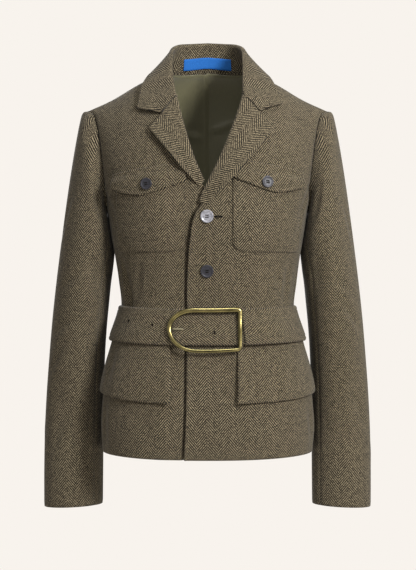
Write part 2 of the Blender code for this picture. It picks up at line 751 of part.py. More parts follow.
def breast_pocket(side, word):
    inner, outer = pocket_size(side, "inner"), pocket_size(side, "outer")

    def top(u):
        return np.full_like(u, POCKET_TOP)

    def bottom(u):
        off = np.minimum(u, 1 - u) * abs(outer - inner)
        into = np.clip(1 - off / POCKET_CORNER, 0, 1)
        return POCKET_BOTTOM + POCKET_CORNER * (1 - np.sqrt(1 - into**2))

    def lift(z):
        return np.full_like(z, POCKET_LIFT + TRIM_WALL)

    face = patch(side, inner, outer, bottom, top, lift, POCKET_COLUMNS, POCKET_ROWS)
    cloth(f"breast_pocket_{word}", *face, TRIM_WALL)


def flap_lift(z):
    """The flap starts on the front panel and passes over the top of the pocket."""
    over = smooth((FLAP_RISE_FROM - z) / FLAP_RISE)
    return SEAM + TRIM_WALL + (POCKET_LIFT + TRIM_WALL + FLAP_CLEAR) * over


def breast_flap(side, word):
    inner, outer = pocket_size(side, "flap_inner"), pocket_size(side, "flap_outer")

    def top(u):
        return np.full_like(u, pocket_size(side, "flap_top"))

    def bottom(u):
        return top(u) - FLAP_SIDE - FLAP_POINT * (1 - np.abs(2 * u - 1) ** FLAP_CURVE)

    face = patch(side, inner, outer, bottom, top, flap_lift, FLAP_COLUMNS, FLAP_ROWS)
    cloth(f"breast_flap_{word}", *face, TRIM_WALL)


def lower_flap(side, word):
    u, v = np.meshgrid(np.linspace(0, 1, LOWER_FLAP_COLUMNS), np.linspace(0, 1, LOWER_FLAP_ROWS))
    low = LOWER_FLAP_INNER + (LOWER_FLAP_OUTER - LOWER_FLAP_INNER) * u**LOWER_FLAP_CURVE
    z = low + (LOWER_FLAP_TOP - low) * v
    level = (z - UNDERARM) / (UNDERARM - HEM)
    start = turn_at(LOWER_FLAPS[side], level)
    turn = start + (side * LOWER_FLAP_END - start) * u
    outward = LOWER_FLAP_INNER_FLARE + (1 - LOWER_FLAP_INNER_FLARE) * u
    lift = SEAM + TRIM_WALL + LOWER_FLAP_FLARE * smooth(1 - v) * outward
    points, normals = skin(turn, level, lift, side)
    if side < 0:
        points, normals = points[:, ::-1], normals[:, ::-1]
    cloth(f"lower_flap_{word}", points, normals, TRIM_WALL)


def belt_point(turn, share, lift):
    """A point on the belt's outside: share 0 is its lower edge, 1 its upper."""
    z = BELT_TOP - BELT_DIP * np.maximum(np.cos(turn), 0) ** 2 - BELT_WIDTH * (1 - share)
    level = (z - UNDERARM) / (UNDERARM - HEM)
    out = BELT_LIFT_BOTTOM + (BELT_LIFT_TOP - BELT_LIFT_BOTTOM) * share + BELT_WALL + lift
    normal = torso_normal(turn, level)
    return torso(turn, level) + normal * out[..., None], normal


def belt():
    """One strip: from the buckle's bar round the back, through the buckle and under its own start."""
    middle = (BELT_TOP - BELT_WIDTH / 2 - UNDERARM) / (UNDERARM - HEM)
    start = float(turn_at(BELT_START_X, middle))
    end = 2 * math.pi + float(turn_at(BELT_START_X + BELT_TUCK, middle))
    turns = spread(start, end, lambda fine: np.full_like(fine, middle), BELT_COLUMNS)
    turn, share = np.meshgrid(turns, np.linspace(0, 1, 3))
    raised = 1 - smooth((half_width(middle) * np.sin(turn) - BELT_START_X - BELT_TUCK) / BELT_EASE)
    lift = (BELT_WALL + 2 * SEAM) * raised * (turn < SIDE_TURN)
    points, normals = belt_point(turn, share, lift)
    strip = cloth("belt", points, normals, BELT_WALL)
    for k, (x, z) in enumerate(zip(BELT_HOLES["x"], BELT_HOLES["height"])):
        middle, normal = on_belt(np.float64(x), np.float64(z), np.float64(0))
        line = np.array([middle - normal * BELT_WALL * HOLE_DEPTH, middle + normal * BELT_WALL])
        bore(strip, f"belt_hole_{k}", line, BELT_HOLE, np.array((0.0, 0.0, 1.0)))


def on_belt(x, z, lift):
    level = (z - UNDERARM) / (UNDERARM - HEM)
    turn = turn_at(x, level)
    share = (z - BELT_TOP + BELT_DIP * np.cos(turn) ** 2 + BELT_WIDTH) / BELT_WIDTH
    return belt_point(turn, share, lift)


def buckle_path():
    """The frame's centre line: up the bar, along the top, round the end and back along the bottom."""
    right, corner, half = BUCKLE_BAR_X, BUCKLE_CORNER, BUCKLE_HALF
    arc = BUCKLE_ROUND_X + BUCKLE_ROUND_RUN
    bend = np.linspace(0, math.pi / 2, 4)
    points = [(right, z) for z in np.linspace(-half + corner, half - corner, 6)[1:-1]]
    points += [(right - corner * (1 - math.cos(a)), half - corner * (1 - math.sin(a))) for a in bend]
    points += [(x, half) for x in np.linspace(right - corner, arc, 7)[1:-1]]
    swing = np.linspace(0, math.pi, BUCKLE_ROUND_STEPS)
    points += [(arc - BUCKLE_ROUND_RUN * math.sin(a), half * math.cos(a)) for a in swing]
    points += [(x, -half) for x in np.linspace(arc, right - corner, 7)[1:-1]]
    points += [(right - corner * (1 - math.sin(a)), -half + corner * (1 - math.cos(a))) for a in bend]
    x, z = np.array(points).T
    bow = BUCKLE_BOW * np.sin(np.clip((x - BUCKLE_ROUND_X) / (right - BUCKLE_ROUND_X), 0, 1) * math.pi)
    return x, BUCKLE_Z + z - bow * (z < 0)


def buckle():
    x, z = buckle_path()
    line, normal = on_belt(x, z, np.full_like(x, ROD + BUCKLE_LIFT))
    along = unit(np.roll(line, -1, axis=0) - np.roll(line, 1, axis=0))
    across = unit(np.cross(along, normal))
    out = unit(np.cross(across, along))
    angle = np.arange(ROD_SIDES) * 2 * math.pi / ROD_SIDES
    rings = line[:, None] + ROD * (
        np.cos(angle)[None, :, None] * out[:, None] + np.sin(angle)[None, :, None] * across[:, None]
    )
    count, sides = rings.shape[:2]
    faces = []
    for i in range(count):
        for j in range(sides):
            after, beside = (i + 1) % count, (j + 1) % sides
            faces.append((i * sides + beside, after * sides + beside, after * sides + j, i * sides + j))
    add("buckle_frame", rings, faces, BRASS, BRASS_ROUGHNESS, 1.0)


def rod(name, line, radius, up, colour, roughness, metallic):
    """A straight rod with closed ends along a line of points."""
    along = unit(line[-1] - line[0])
    across = unit(np.cross(along, up))
    out = np.cross(across, along)
    angle = np.arange(ROD_SIDES) * 2 * math.pi / ROD_SIDES
    ring = np.cos(angle)[:, None] * out + np.sin(angle)[:, None] * across
    rings = line[:, None] + ring[None] * np.asarray(radius)[:, None, None]
    count = len(line)
    faces = [tuple(range(ROD_SIDES - 1, -1, -1)), tuple(range((count - 1) * ROD_SIDES, count * ROD_SIDES))]
    for i in range(count - 1):
        for j in range(ROD_SIDES):
            beside = (j + 1) % ROD_SIDES
            low, high = i * ROD_SIDES, (i + 1) * ROD_SIDES
            faces.append((low + j, low + beside, high + beside, high + j))
    return add(name, rings, faces, colour, roughness, metallic)


def bore(piece, name, line, radius, up):
    """A round hole through a piece along a line."""
    cutter = rod(name, line, [radius, radius], up, TWEED, TWEED_ROUGHNESS, 0.0)
    cutter.hide_render = True
    cutter.display_type = "WIRE"
    cut = piece.modifiers.new(name, "BOOLEAN")
    cut.object = cutter
    cut.operation = "DIFFERENCE"
    cut.solver = "EXACT"


def prong():
    x = np.array([BUCKLE_ROUND_X + ROD + SEAM, PRONG_END_X])
    line, normal = on_belt(x, np.full(2, BUCKLE_Z), np.full(2, PRONG + SEAM))
    line = line[0] + (line[1] - line[0]) * PRONG_TAPER["along"][:, None]
    rod("buckle_prong", line, PRONG * PRONG_TAPER["share"], normal[0], BRASS, BRASS_ROUGHNESS, 1.0)


BUTTON_PROFILE = table(
    "share height",
    (0.62, 0.0000),
    (0.94, 0.0012),
    (1.00, 0.0020),
    (0.93, 0.0030),
    (0.76, 0.0030),
    (0.66, 0.0023),
)


def button(name, side, x, z, lift, radius, colour):
    """A turned disc with a raised rim and four sewing holes, lying on the cloth."""
    base, normal = laid(side, x, z, lift)
    right = unit(np.cross(normal, (0, 0, 1)))
    up = np.cross(right, normal)
    angle = np.arange(BUTTON_SIDES) * 2 * math.pi / BUTTON_SIDES
    spoke = np.cos(angle)[:, None] * right + np.sin(angle)[:, None] * up
    share, height = BUTTON_PROFILE["share"], BUTTON_PROFILE["height"]
    rings = [base + radius * s * spoke + normal * h for s, h in zip(share, height)]
    points = np.concatenate(rings)
    last = (len(rings) - 1) * BUTTON_SIDES
    faces = [tuple(range(BUTTON_SIDES)), tuple(range(last + BUTTON_SIDES - 1, last - 1, -1))]
    for j in range(BUTTON_SIDES):
        beside = (j + 1) % BUTTON_SIDES
        for i in range(len(rings) - 1):
            low, high = i * BUTTON_SIDES, (i + 1) * BUTTON_SIDES
            faces.append((low + j, high + j, high + beside, low + beside))
    disc = add(name, points, faces, colour, HORN_ROUGHNESS)
    for k in range(4):
        turn = math.pi / 4 + k * math.pi / 2
        centre = base + HOLE_AT * (math.cos(turn) * right + math.sin(turn) * up)
        line = np.array([centre - normal * HOLE_RUN, centre + normal * 2 * HOLE_RUN])
        bore(disc, f"{name}_hole_{k}", line, HOLE, up)


for existing in list(bpy.data.objects):
    bpy.data.objects.remove(existing)
front(1)
front(-1)
back()
lining()
sleeves()
collar()
label()
for hand, hand_name in ((1, "left"), (-1, "right")):
    lapel(hand)
    breast_pocket(hand, hand_name)
    breast_flap(hand, hand_name)
    lower_flap(hand, hand_name)
belt()
buckle()
prong()
ON_FLAP = SEAM + TRIM_WALL + POCKET_LIFT + TRIM_WALL + FLAP_CLEAR + SEAM
for button_name, hand, across, height, lift, radius, colour in BUTTONS:
    button(button_name, hand, across, height, ON_FLAP if lift == "flap" else SEAM, radius, colour)
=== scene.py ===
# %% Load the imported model
import json
import math

import bmesh
import bpy
import numpy as np
from mathutils import Matrix, Vector

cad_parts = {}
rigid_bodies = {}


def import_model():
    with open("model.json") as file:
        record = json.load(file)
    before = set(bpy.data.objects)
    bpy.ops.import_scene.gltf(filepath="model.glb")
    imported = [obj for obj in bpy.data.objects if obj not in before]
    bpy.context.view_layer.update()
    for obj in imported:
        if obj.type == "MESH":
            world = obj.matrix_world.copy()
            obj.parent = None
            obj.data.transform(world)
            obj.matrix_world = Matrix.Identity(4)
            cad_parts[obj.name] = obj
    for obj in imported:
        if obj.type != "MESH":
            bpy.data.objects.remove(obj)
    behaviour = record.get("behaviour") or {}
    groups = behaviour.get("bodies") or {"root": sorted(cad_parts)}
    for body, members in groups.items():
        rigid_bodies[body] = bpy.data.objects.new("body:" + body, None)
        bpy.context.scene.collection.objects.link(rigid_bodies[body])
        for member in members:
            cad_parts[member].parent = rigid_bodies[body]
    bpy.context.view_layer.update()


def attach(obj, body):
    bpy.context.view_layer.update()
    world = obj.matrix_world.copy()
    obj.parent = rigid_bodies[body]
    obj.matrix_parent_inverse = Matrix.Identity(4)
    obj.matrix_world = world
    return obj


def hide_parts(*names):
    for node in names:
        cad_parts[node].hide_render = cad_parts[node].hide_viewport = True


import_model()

# %% [markdown]
# The blazer is a tailored tweed jacket, filled out as when it is worn. A tailor starts from body
# measures, so this lesson does too: a few short tables give the body's half widths and depths by height,
# the front edge, the lapels, the collar and the sleeves. The cloth could also be sculpted by eye, but
# tables keep every piece lying on its neighbour, and they are the same sizes that the solids were cut
# from. All sizes are metres. The front faces -Y, the wearer's left is +X, and the origin lies between the
# shoulders at neck height.

# %% Body measures
def table(columns, *rows):
    """A short table as one array per named column. The first column is the one that it is read along."""
    return dict(zip(columns.split(), np.array(rows, float).T))


HEM, UNDERARM = -0.586, -0.218
SIDE_Y, ROUND, HEM_DIP = 0.006, 2.5, 0.005
SHOULDER_SPREAD, SHOULDER_SLOPE = 0.032, 0.53
FRONT_ARCH, BACK_ARCH = 1.0, 0.8
RIDGE_TOP, RIDGE_ROUND = 0.0397, 0.030
SHOULDER_DIP, SHOULDER_DIP_X, SHOULDER_DIP_RUN = 0.0030, 0.148, 0.045
TORSO = table(
    "height half_width front back",
    (-0.590, 0.1620, 0.1150, 0.1110),
    (-0.547, 0.1645, 0.1165, 0.1140),
    (-0.493, 0.1610, 0.1145, 0.1110),
    (-0.452, 0.1545, 0.1105, 0.1050),
    (-0.410, 0.1450, 0.1045, 0.0970),
    (-0.363, 0.1335, 0.0975, 0.0885),
    (-0.325, 0.1370, 0.1010, 0.0900),
    (-0.290, 0.1425, 0.1080, 0.0945),
    (-0.250, 0.1495, 0.1160, 0.1005),
    (-0.218, 0.1540, 0.1190, 0.1050),
)
FOLDS = table(
    "angle half_angle height half_height depth",
    (-62, 7, -0.330, 0.055, 0.0045),
    (58, 7, -0.330, 0.055, 0.0030),
    (-66, 9, -0.455, 0.050, 0.0030),
    (140, 9, -0.345, 0.090, 0.0040),
    (220, 9, -0.345, 0.090, 0.0045),
    (158, 8, -0.450, 0.060, 0.0030),
    (206, 8, -0.460, 0.060, 0.0030),
)
EDGE = table(
    "height left right setback",
    (-0.6000, -0.0352, 0.0350, 0.0000),
    (-0.5330, -0.0318, 0.0340, 0.0000),
    (-0.4300, -0.0304, 0.0330, 0.0000),
    (-0.3070, -0.0290, 0.0320, 0.0000),
    (-0.2574, -0.0250, 0.0300, 0.0000),
    (-0.2213, -0.0175, 0.0200, 0.0010),
    (-0.2060, -0.0125, 0.0120, 0.0058),
    (-0.1894, -0.0067, 0.0040, 0.0058),
    (-0.1775, -0.0010, -0.0022, 0.0058),
    (-0.1446, 0.0152, -0.0171, 0.0058),
    (-0.0990, 0.0340, -0.0321, 0.0058),
    (-0.0520, 0.0500, -0.0444, 0.0105),
    (-0.0360, 0.0540, -0.0490, 0.0105),
    (-0.0180, 0.0600, -0.0580, 0.0085),
    (-0.0016, 0.0660, -0.0660, 0.0060),
)
UNDERLAP = table(
    "height depth",
    (-0.600, 0.0028),
    (-0.440, 0.0028),
    (-0.380, 0.0028),
    (-0.330, 0.0032),
    (-0.270, 0.0054),
    (-0.225, 0.0072),
    (-0.180, 0.0070),
    (-0.140, 0.0034),
    (-0.095, 0.0000),
    (-0.060, 0.0000),
    (0.000, 0.0000),
)
UNDERLAP_X, UNDERLAP_RUN = -0.078, 0.040
print("body:", len(TORSO["height"]), "level measures from the hem to the underarm")

# %% [markdown]
# The body is a stack of level sections, each a rounded oval, with an arch over the shoulders on top. One
# function turns an angle and a level into a point on it, so a panel is just a range of angles and levels.
# Blender's sculpt tools could give such a form as well, but then two panels would not share a seam to a
# tenth of a millimetre.

# %% Points on the body
def read(rows, column, at):
    """A smooth curve through one column of a table, read along its first column."""
    key = next(iter(rows.values()))
    value = rows[column]
    at = np.asarray(at, float)
    slope = np.gradient(value, key)
    i = np.clip(np.searchsorted(key, at, side="right") - 1, 0, len(key) - 2)
    run = key[i + 1] - key[i]
    t = np.clip((at - key[i]) / run, 0, 1)
    start = (1 + 2 * t) * (1 - t) ** 2 * value[i] + t * (1 - t) ** 2 * run * slope[i]
    return start + t * t * (3 - 2 * t) * value[i + 1] + t * t * (t - 1) * run * slope[i + 1]


def smooth(t):
    t = np.clip(t, 0, 1)
    return t * t * (3 - 2 * t)


def bump(t):
    """1 in the middle of a fold, 0 from one half width away."""
    return np.cos(np.clip(t, -1, 1) * math.pi / 2) ** 2


def unit(vectors):
    return vectors / np.maximum(np.linalg.norm(vectors, axis=-1, keepdims=True), 1e-12)


def ridge(x):
    """Height of the shoulder seam."""
    dip = SHOULDER_DIP * bump((np.abs(x) - SHOULDER_DIP_X) / SHOULDER_DIP_RUN)
    return RIDGE_TOP - SHOULDER_SLOPE * np.sqrt(x * x + RIDGE_ROUND**2) - dip


def rise_of(level):
    return np.clip(level, 0, 1) * math.pi / 2


def height_of(level):
    return UNDERARM + np.minimum(level, 0) * (UNDERARM - HEM)


def half_width(level):
    return read(TORSO, "half_width", height_of(level)) + SHOULDER_SPREAD * np.sin(rise_of(level))


def torso(turn, level):
    """A point of the body: turn 0 is the centre front; level -1 the hem, 0 the underarm, 1 the top."""
    sine, cosine = np.sin(turn), np.cos(turn)
    height, rise = height_of(level), rise_of(level)
    x = half_width(level) * np.sign(sine) * np.abs(sine) ** (2 / ROUND)
    front = read(TORSO, "front", height) * np.cos(rise) ** FRONT_ARCH
    back = read(TORSO, "back", height) * np.cos(rise) ** BACK_ARCH
    y = SIDE_Y - np.sign(cosine) * np.where(cosine > 0, front, back) * np.abs(cosine) ** (2 / ROUND)
    dip = HEM_DIP * np.minimum(level, 0) ** 4 * np.maximum(cosine, 0) ** 2
    z = height + (ridge(x) - UNDERARM) * np.sin(rise) - dip
    return np.stack(np.broadcast_arrays(x, y, z), axis=-1)


def torso_normal(turn, level):
    step = 1e-4
    top = np.minimum(level + step, 1.0)
    around = torso(turn + step, level) - torso(turn - step, level)
    up = torso(turn, top) - torso(turn, top - 2 * step)
    return unit(np.cross(around, up))


def fold_depth(turn, level):
    angle = np.degrees(turn) % 360
    height = height_of(level)
    depth = 0.0
    for middle, half, at, run, most in zip(*FOLDS.values()):
        off = (angle - middle + 180) % 360 - 180
        depth = depth + most * bump(off / half) * bump((height - at) / run)
    return depth


def turn_at(x, level):
    share = np.clip(np.abs(x) / half_width(level), 0, 1)
    return np.sign(x) * np.arcsin(share ** (ROUND / 2))


def level_at(x, z):
    sine = (z - UNDERARM) / (ridge(x) - UNDERARM)
    upper = np.arcsin(np.clip(sine, 0, 1)) * 2 / math.pi
    return np.where(sine > 0, upper, (z - UNDERARM) / (UNDERARM - HEM))


def underlap(side, x, z):
    """How far the right front is sunk where the left one laps over it."""
    if side > 0:
        return 0.0 * x
    return read(UNDERLAP, "depth", z) * smooth((x - UNDERLAP_X) / UNDERLAP_RUN)


def spread(start, end, level, count):
    """Angles evenly spaced along the cloth from one angle to another."""
    fine = np.linspace(start, end, 161)
    line = torso(fine, level(fine))
    along = np.concatenate([[0], np.cumsum(np.linalg.norm(np.diff(line, axis=0), axis=1))])
    return np.interp(np.linspace(0, along[-1], count), along, fine)


def grid_normals(grid):
    return unit(np.cross(np.gradient(grid, axis=1), np.gradient(grid, axis=0)))


WAIST_HEIGHT = -0.39
WAIST_POINT = torso(np.float64(0), np.float64((WAIST_HEIGHT - UNDERARM) / (UNDERARM - HEM)))
print("centre front at the waist:", np.round(WAIST_POINT, 4))

# %% [markdown]
# A material is a small graph of nodes, and one short function adds each node with its settings and its
# links. Colours are written as they look on screen, in sRGB hex, and turned to linear light for the
# shader.

# %% Node helper
def linear(colour):
    srgb = [int(colour[i : i + 2], 16) / 255 for i in (0, 2, 4)]
    return (*[c / 12.92 if c <= 0.04045 else ((c + 0.055) / 1.055) ** 2.4 for c in srgb], 1.0)


def node(tree, kind, settings=None, links=None):
    """Adds a node, sets its properties and inputs, and links its inputs to other nodes' outputs."""
    made = tree.nodes.new(kind)
    for key, value in (settings or {}).items():
        if isinstance(key, str) and hasattr(made, key):
            setattr(made, key, value)
        else:
            made.inputs[key].default_value = value
    for key, output in (links or {}).items():
        tree.links.new(output, made.inputs[key])
    return made


def finish(name, settings):
    """A new material: its node tree and its shader with the settings that are the same all over."""
    made = bpy.data.materials.new(name)
    made.use_nodes = True
    shader = made.node_tree.nodes["Principled BSDF"]
    for key, value in settings.items():
        shader.inputs[key].default_value = value
    return made, made.node_tree, shader


# %% [markdown]
# Herringbone tweed: wool yarns in a twill whose diagonal turns back every 15 mm, so the cloth shows
# upright columns of chevrons. The yarns are heathered, so no two lines have quite the same colour, and
# the fluffy surface is matt with a little sheen at grazing angles. An image could carry this, but a few
# mathematics nodes draw it from the real thread sizes: a ping-pong across the column bends the twill line
# back and forth, and noise along the yarns gives the heather. It reads the UV map that each panel brings,
# in metres along and across its threads.

# %% Herringbone tweed
COLUMN = 0.0153
TWILL_PITCH, TWILL_STEEP = 0.0044, 1.18
YARN = 0.0017
WOBBLE_SIZE, WOBBLE = 0.012, 0.30
HEATHER_SIZE, HEATHER = 0.007, 0.30
DARK_WOOL, LIGHT_WOOL = "080603", "635A48"


def maths(tree, operation, *values):
    """One mathematics node; a value is a number or another node's output."""
    fixed = {i: v for i, v in enumerate(values) if isinstance(v, (int, float))}
    linked = {i: v for i, v in enumerate(values) if not isinstance(v, (int, float))}
    return node(tree, "ShaderNodeMath", {"operation": operation, **fixed}, linked).outputs[0]


def tweed_cloth(name):
    made, tree, shader = finish(name, {"Roughness": 0.95, "Specular IOR Level": 0.08,
                                       "Sheen Weight": 0.03, "Sheen Roughness": 0.5})
    weave = node(tree, "ShaderNodeUVMap", {"uv_map": "weave"}).outputs["UV"]
    parts = node(tree, "ShaderNodeSeparateXYZ", links={0: weave})
    across, along = parts.outputs["X"], parts.outputs["Y"]
    wobble = node(tree, "ShaderNodeTexNoise", {"Scale": 1 / WOBBLE_SIZE, "Detail": 1.0}, {"Vector": weave})
    along = maths(tree, "MULTIPLY_ADD", wobble.outputs["Fac"], TWILL_PITCH * WOBBLE, along)
    zigzag = maths(tree, "PINGPONG", across, COLUMN)
    column = maths(tree, "FLOORED_MODULO", maths(tree, "FLOOR", maths(tree, "DIVIDE", across, COLUMN)), 2.0)
    climb = maths(tree, "MULTIPLY_ADD", zigzag, TWILL_STEEP, along)
    phase = maths(tree, "MULTIPLY_ADD", column, 0.5, maths(tree, "DIVIDE", climb, TWILL_PITCH))
    wave = maths(tree, "PINGPONG", phase, 0.5)
    line = node(tree, "ShaderNodeMapRange", {"interpolation_type": "SMOOTHSTEP", 1: 0.19, 2: 0.40}, {0: wave})
    fibres = node(tree, "ShaderNodeTexNoise", {"Scale": 1 / YARN, "Detail": 2.0}, {"Vector": weave})
    heather = node(tree, "ShaderNodeTexNoise", {"Scale": 1 / HEATHER_SIZE, "Detail": 2.0}, {"Vector": weave})
    speck = node(tree, "ShaderNodeMapRange", {1: 0.33, 2: 0.67, 3: 0.05, 4: 1.05}, {0: fibres.outputs["Fac"]})
    yarn = maths(tree, "MULTIPLY", line.outputs[0], speck.outputs[0])
    yarn = maths(tree, "MULTIPLY_ADD", maths(tree, "SUBTRACT", heather.outputs["Fac"], 0.5), HEATHER, yarn)
    colour = node(tree, "ShaderNodeMix", {"data_type": "RGBA", "clamp_factor": True,
                                          6: linear(DARK_WOOL), 7: linear(LIGHT_WOOL)}, {0: yarn})
    tree.links.new(colour.outputs[2], shader.inputs["Base Color"])
    fluff = maths(tree, "MULTIPLY_ADD", fibres.outputs["Fac"], 0.5, line.outputs[0])
    relief = node(tree, "ShaderNodeBump", {"Strength": 0.5, "Distance": 0.0004}, {"Height": fluff})
    tree.links.new(relief.outputs[0], shader.inputs["Normal"])
    return made


TWEED = tweed_cloth("herringbone wool tweed, woven and pressed")
print("tweed: columns of", COLUMN * 1000, "mm with a twill line every", TWILL_PITCH * 1000, "mm")

# %% [markdown]
# The other finishes. The lining is a warp satin: long smooth floats give it a soft streak of light across
# the folds, so it is smoother than wool, with faint lines along the warp. The label is a narrow woven
# ribbon. The buckle is cast brass in a cloudy tone, with painted reflections, dark along its crown and
# bright along its edges, and painted shade on its sides. The buttons are turned horn with cloudy layers
# under a polish, and the thread is twisted polyester, whose near-black colour is also painted shade inside
# the slits.

# %% Lining, ribbon, brass, horn and thread
def cloudy(tree, coordinates, size, low, high, stretch=(1, 1, 1), detail=3.0):
    """A colour that drifts between two tones over a real size."""
    spread_out = node(tree, "ShaderNodeMapping", {"Scale": stretch}, {"Vector": coordinates})
    drift = node(tree, "ShaderNodeTexNoise", {"Scale": 1 / size, "Detail": detail},
                 {"Vector": spread_out.outputs[0]})
    tone = node(tree, "ShaderNodeMapRange", {1: 0.3, 2: 0.7}, {0: drift.outputs["Fac"]})
    mixed = node(tree, "ShaderNodeMix", {"data_type": "RGBA", 6: linear(low), 7: linear(high)},
                 {0: tone.outputs[0]})
    return mixed.outputs[2], tone.outputs[0]


def satin_lining():
    made, tree, shader = finish("warp satin lining, viscose",
                                {"Specular IOR Level": 0.4, "Sheen Weight": 0.15})
    weave = node(tree, "ShaderNodeUVMap", {"uv_map": "weave"}).outputs["UV"]
    colour, tone = cloudy(tree, weave, 0.004, "3B3928", "45422D", (6, 0.4, 1))
    tree.links.new(colour, shader.inputs["Base Color"])
    gloss = node(tree, "ShaderNodeMapRange", {3: 0.40, 4: 0.52}, {0: tone})
    tree.links.new(gloss.outputs[0], shader.inputs["Roughness"])
    relief = node(tree, "ShaderNodeBump", {"Strength": 0.15, "Distance": 0.0002}, {"Height": tone})
    tree.links.new(relief.outputs[0], shader.inputs["Normal"])
    return made


def woven_ribbon():
    made, tree, shader = finish("narrow woven ribbon, dyed blue",
                                {"Roughness": 0.85, "Specular IOR Level": 0.05})
    weave = node(tree, "ShaderNodeUVMap", {"uv_map": "weave"}).outputs["UV"]
    ribs = node(tree, "ShaderNodeTexWave", {"Scale": 1 / 0.0032, "Distortion": 0.4, "bands_direction": "Y"},
                {"Vector": weave})
    colour = node(tree, "ShaderNodeMix", {"data_type": "RGBA", 6: linear("0F315C"), 7: linear("174377")},
                  {0: ribs.outputs["Fac"]})
    tree.links.new(colour.outputs[2], shader.inputs["Base Color"])
    relief = node(tree, "ShaderNodeBump", {"Strength": 0.4, "Distance": 0.0002},
                  {"Height": ribs.outputs["Fac"]})
    tree.links.new(relief.outputs[0], shader.inputs["Normal"])
    return made


def polished(name, low, high, size, roughness, stretch=(1, 1, 1), **settings):
    made, tree, shader = finish(name, settings)
    place = node(tree, "ShaderNodeTexCoord").outputs["Object"]
    colour, tone = cloudy(tree, place, size, low, high, stretch)
    tree.links.new(colour, shader.inputs["Base Color"])
    gloss = node(tree, "ShaderNodeMapRange", {3: roughness * 1.35, 4: roughness * 0.8}, {0: tone})
    tree.links.new(gloss.outputs[0], shader.inputs["Roughness"])
    relief = node(tree, "ShaderNodeBump", {"Strength": 0.08, "Distance": 0.0002}, {"Height": tone})
    tree.links.new(relief.outputs[0], shader.inputs["Normal"])
    return made


def cast_brass():
    """Painted reflections: a dark cloudy tone on the crown that faces the front and bright where the rod
    turns; painted shade on its sides.
    """
    made, tree, shader = finish("antique brass, cast and polished", {"Metallic": 1.0, "Roughness": 0.27})
    place = node(tree, "ShaderNodeTexCoord")
    parts = node(tree, "ShaderNodeSeparateXYZ", links={0: place.outputs["Normal"]})
    # The cloudy tone is the brass's own; on the front-facing crown it also stands for a dark reflection.
    patina_and_dark_reflection, tone = cloudy(tree, place.outputs["Object"], 0.022, "221E0E", "5A5234", detail=1.0)
    # Painted highlight: where the rod turns away from the front, its colour goes bright for reflected light.
    painted_highlight_mask = node(tree, "ShaderNodeMapRange", {"interpolation_type": "SMOOTHSTEP", 1: -0.93, 2: -0.72},
                {0: parts.outputs["Y"]})
    edges = node(tree, "ShaderNodeMix", {"data_type": "RGBA", 7: linear("706A49")},
                 {0: painted_highlight_mask.outputs[0], 6: patina_and_dark_reflection})
    # Painted shade: the sides that face away from the front are coloured dark.
    painted_shade_mask = node(tree, "ShaderNodeMapRange", {"interpolation_type": "SMOOTHSTEP", 1: -0.50, 2: 0.0},
                 {0: parts.outputs["Y"]})
    colour = node(tree, "ShaderNodeMix", {"data_type": "RGBA", 7: linear("221E0D")},
                  {0: painted_shade_mask.outputs[0], 6: edges.outputs[2]})
    tree.links.new(colour.outputs[2], shader.inputs["Base Color"])
    relief = node(tree, "ShaderNodeBump", {"Strength": 0.06, "Distance": 0.0002}, {"Height": tone})
    tree.links.new(relief.outputs[0], shader.inputs["Normal"])
    return made


SATIN = satin_lining()
RIBBON = woven_ribbon()
BRASS = cast_brass()
STEEL = polished("nickel-plated steel wire", "454236", "6E6956", 0.004, 0.34, Metallic=1.0)
DULL = {"Specular IOR Level": 0.15}
DARK_HORN = polished("dark horn, turned and polished", "0D0D10", "1C1C21", 0.005, 0.42, (1, 1, 2.5), **DULL)
# The upper button's horn is paler than the others, partly as a painted highlight for the light it catches.
PALE_HORN_AND_HIGHLIGHT = polished("pale horn, turned and polished, with painted highlight", "38393F", "605F63", 0.006, 0.34, (1, 1, 2.5))
# Near-black thread; the same colour is painted shade inside the buttonhole and the belt holes.
THREAD_AND_SLIT_SHADE = polished("twisted polyester thread, also painted shade in slits", "050403", "0D0B08", 0.0007, 0.9, **{"Specular IOR Level": 0.05})
print("finishes:", len(bpy.data.materials), "materials in the file")

# %% [markdown]
# Cloth in a photograph is never a clean surface. Worn tweed shows a few soft drag lines: from the
# underarm towards the chest, above the belt where the slack gathers, across the shoulder blades and down
# the skirt. Each one is a shallow trough with a low lip beside it, so it is listed with its own
# lean, length, width and depth. Cloth simulation could make folds too, but it also slides pockets and
# seams away from where the tailor put them.

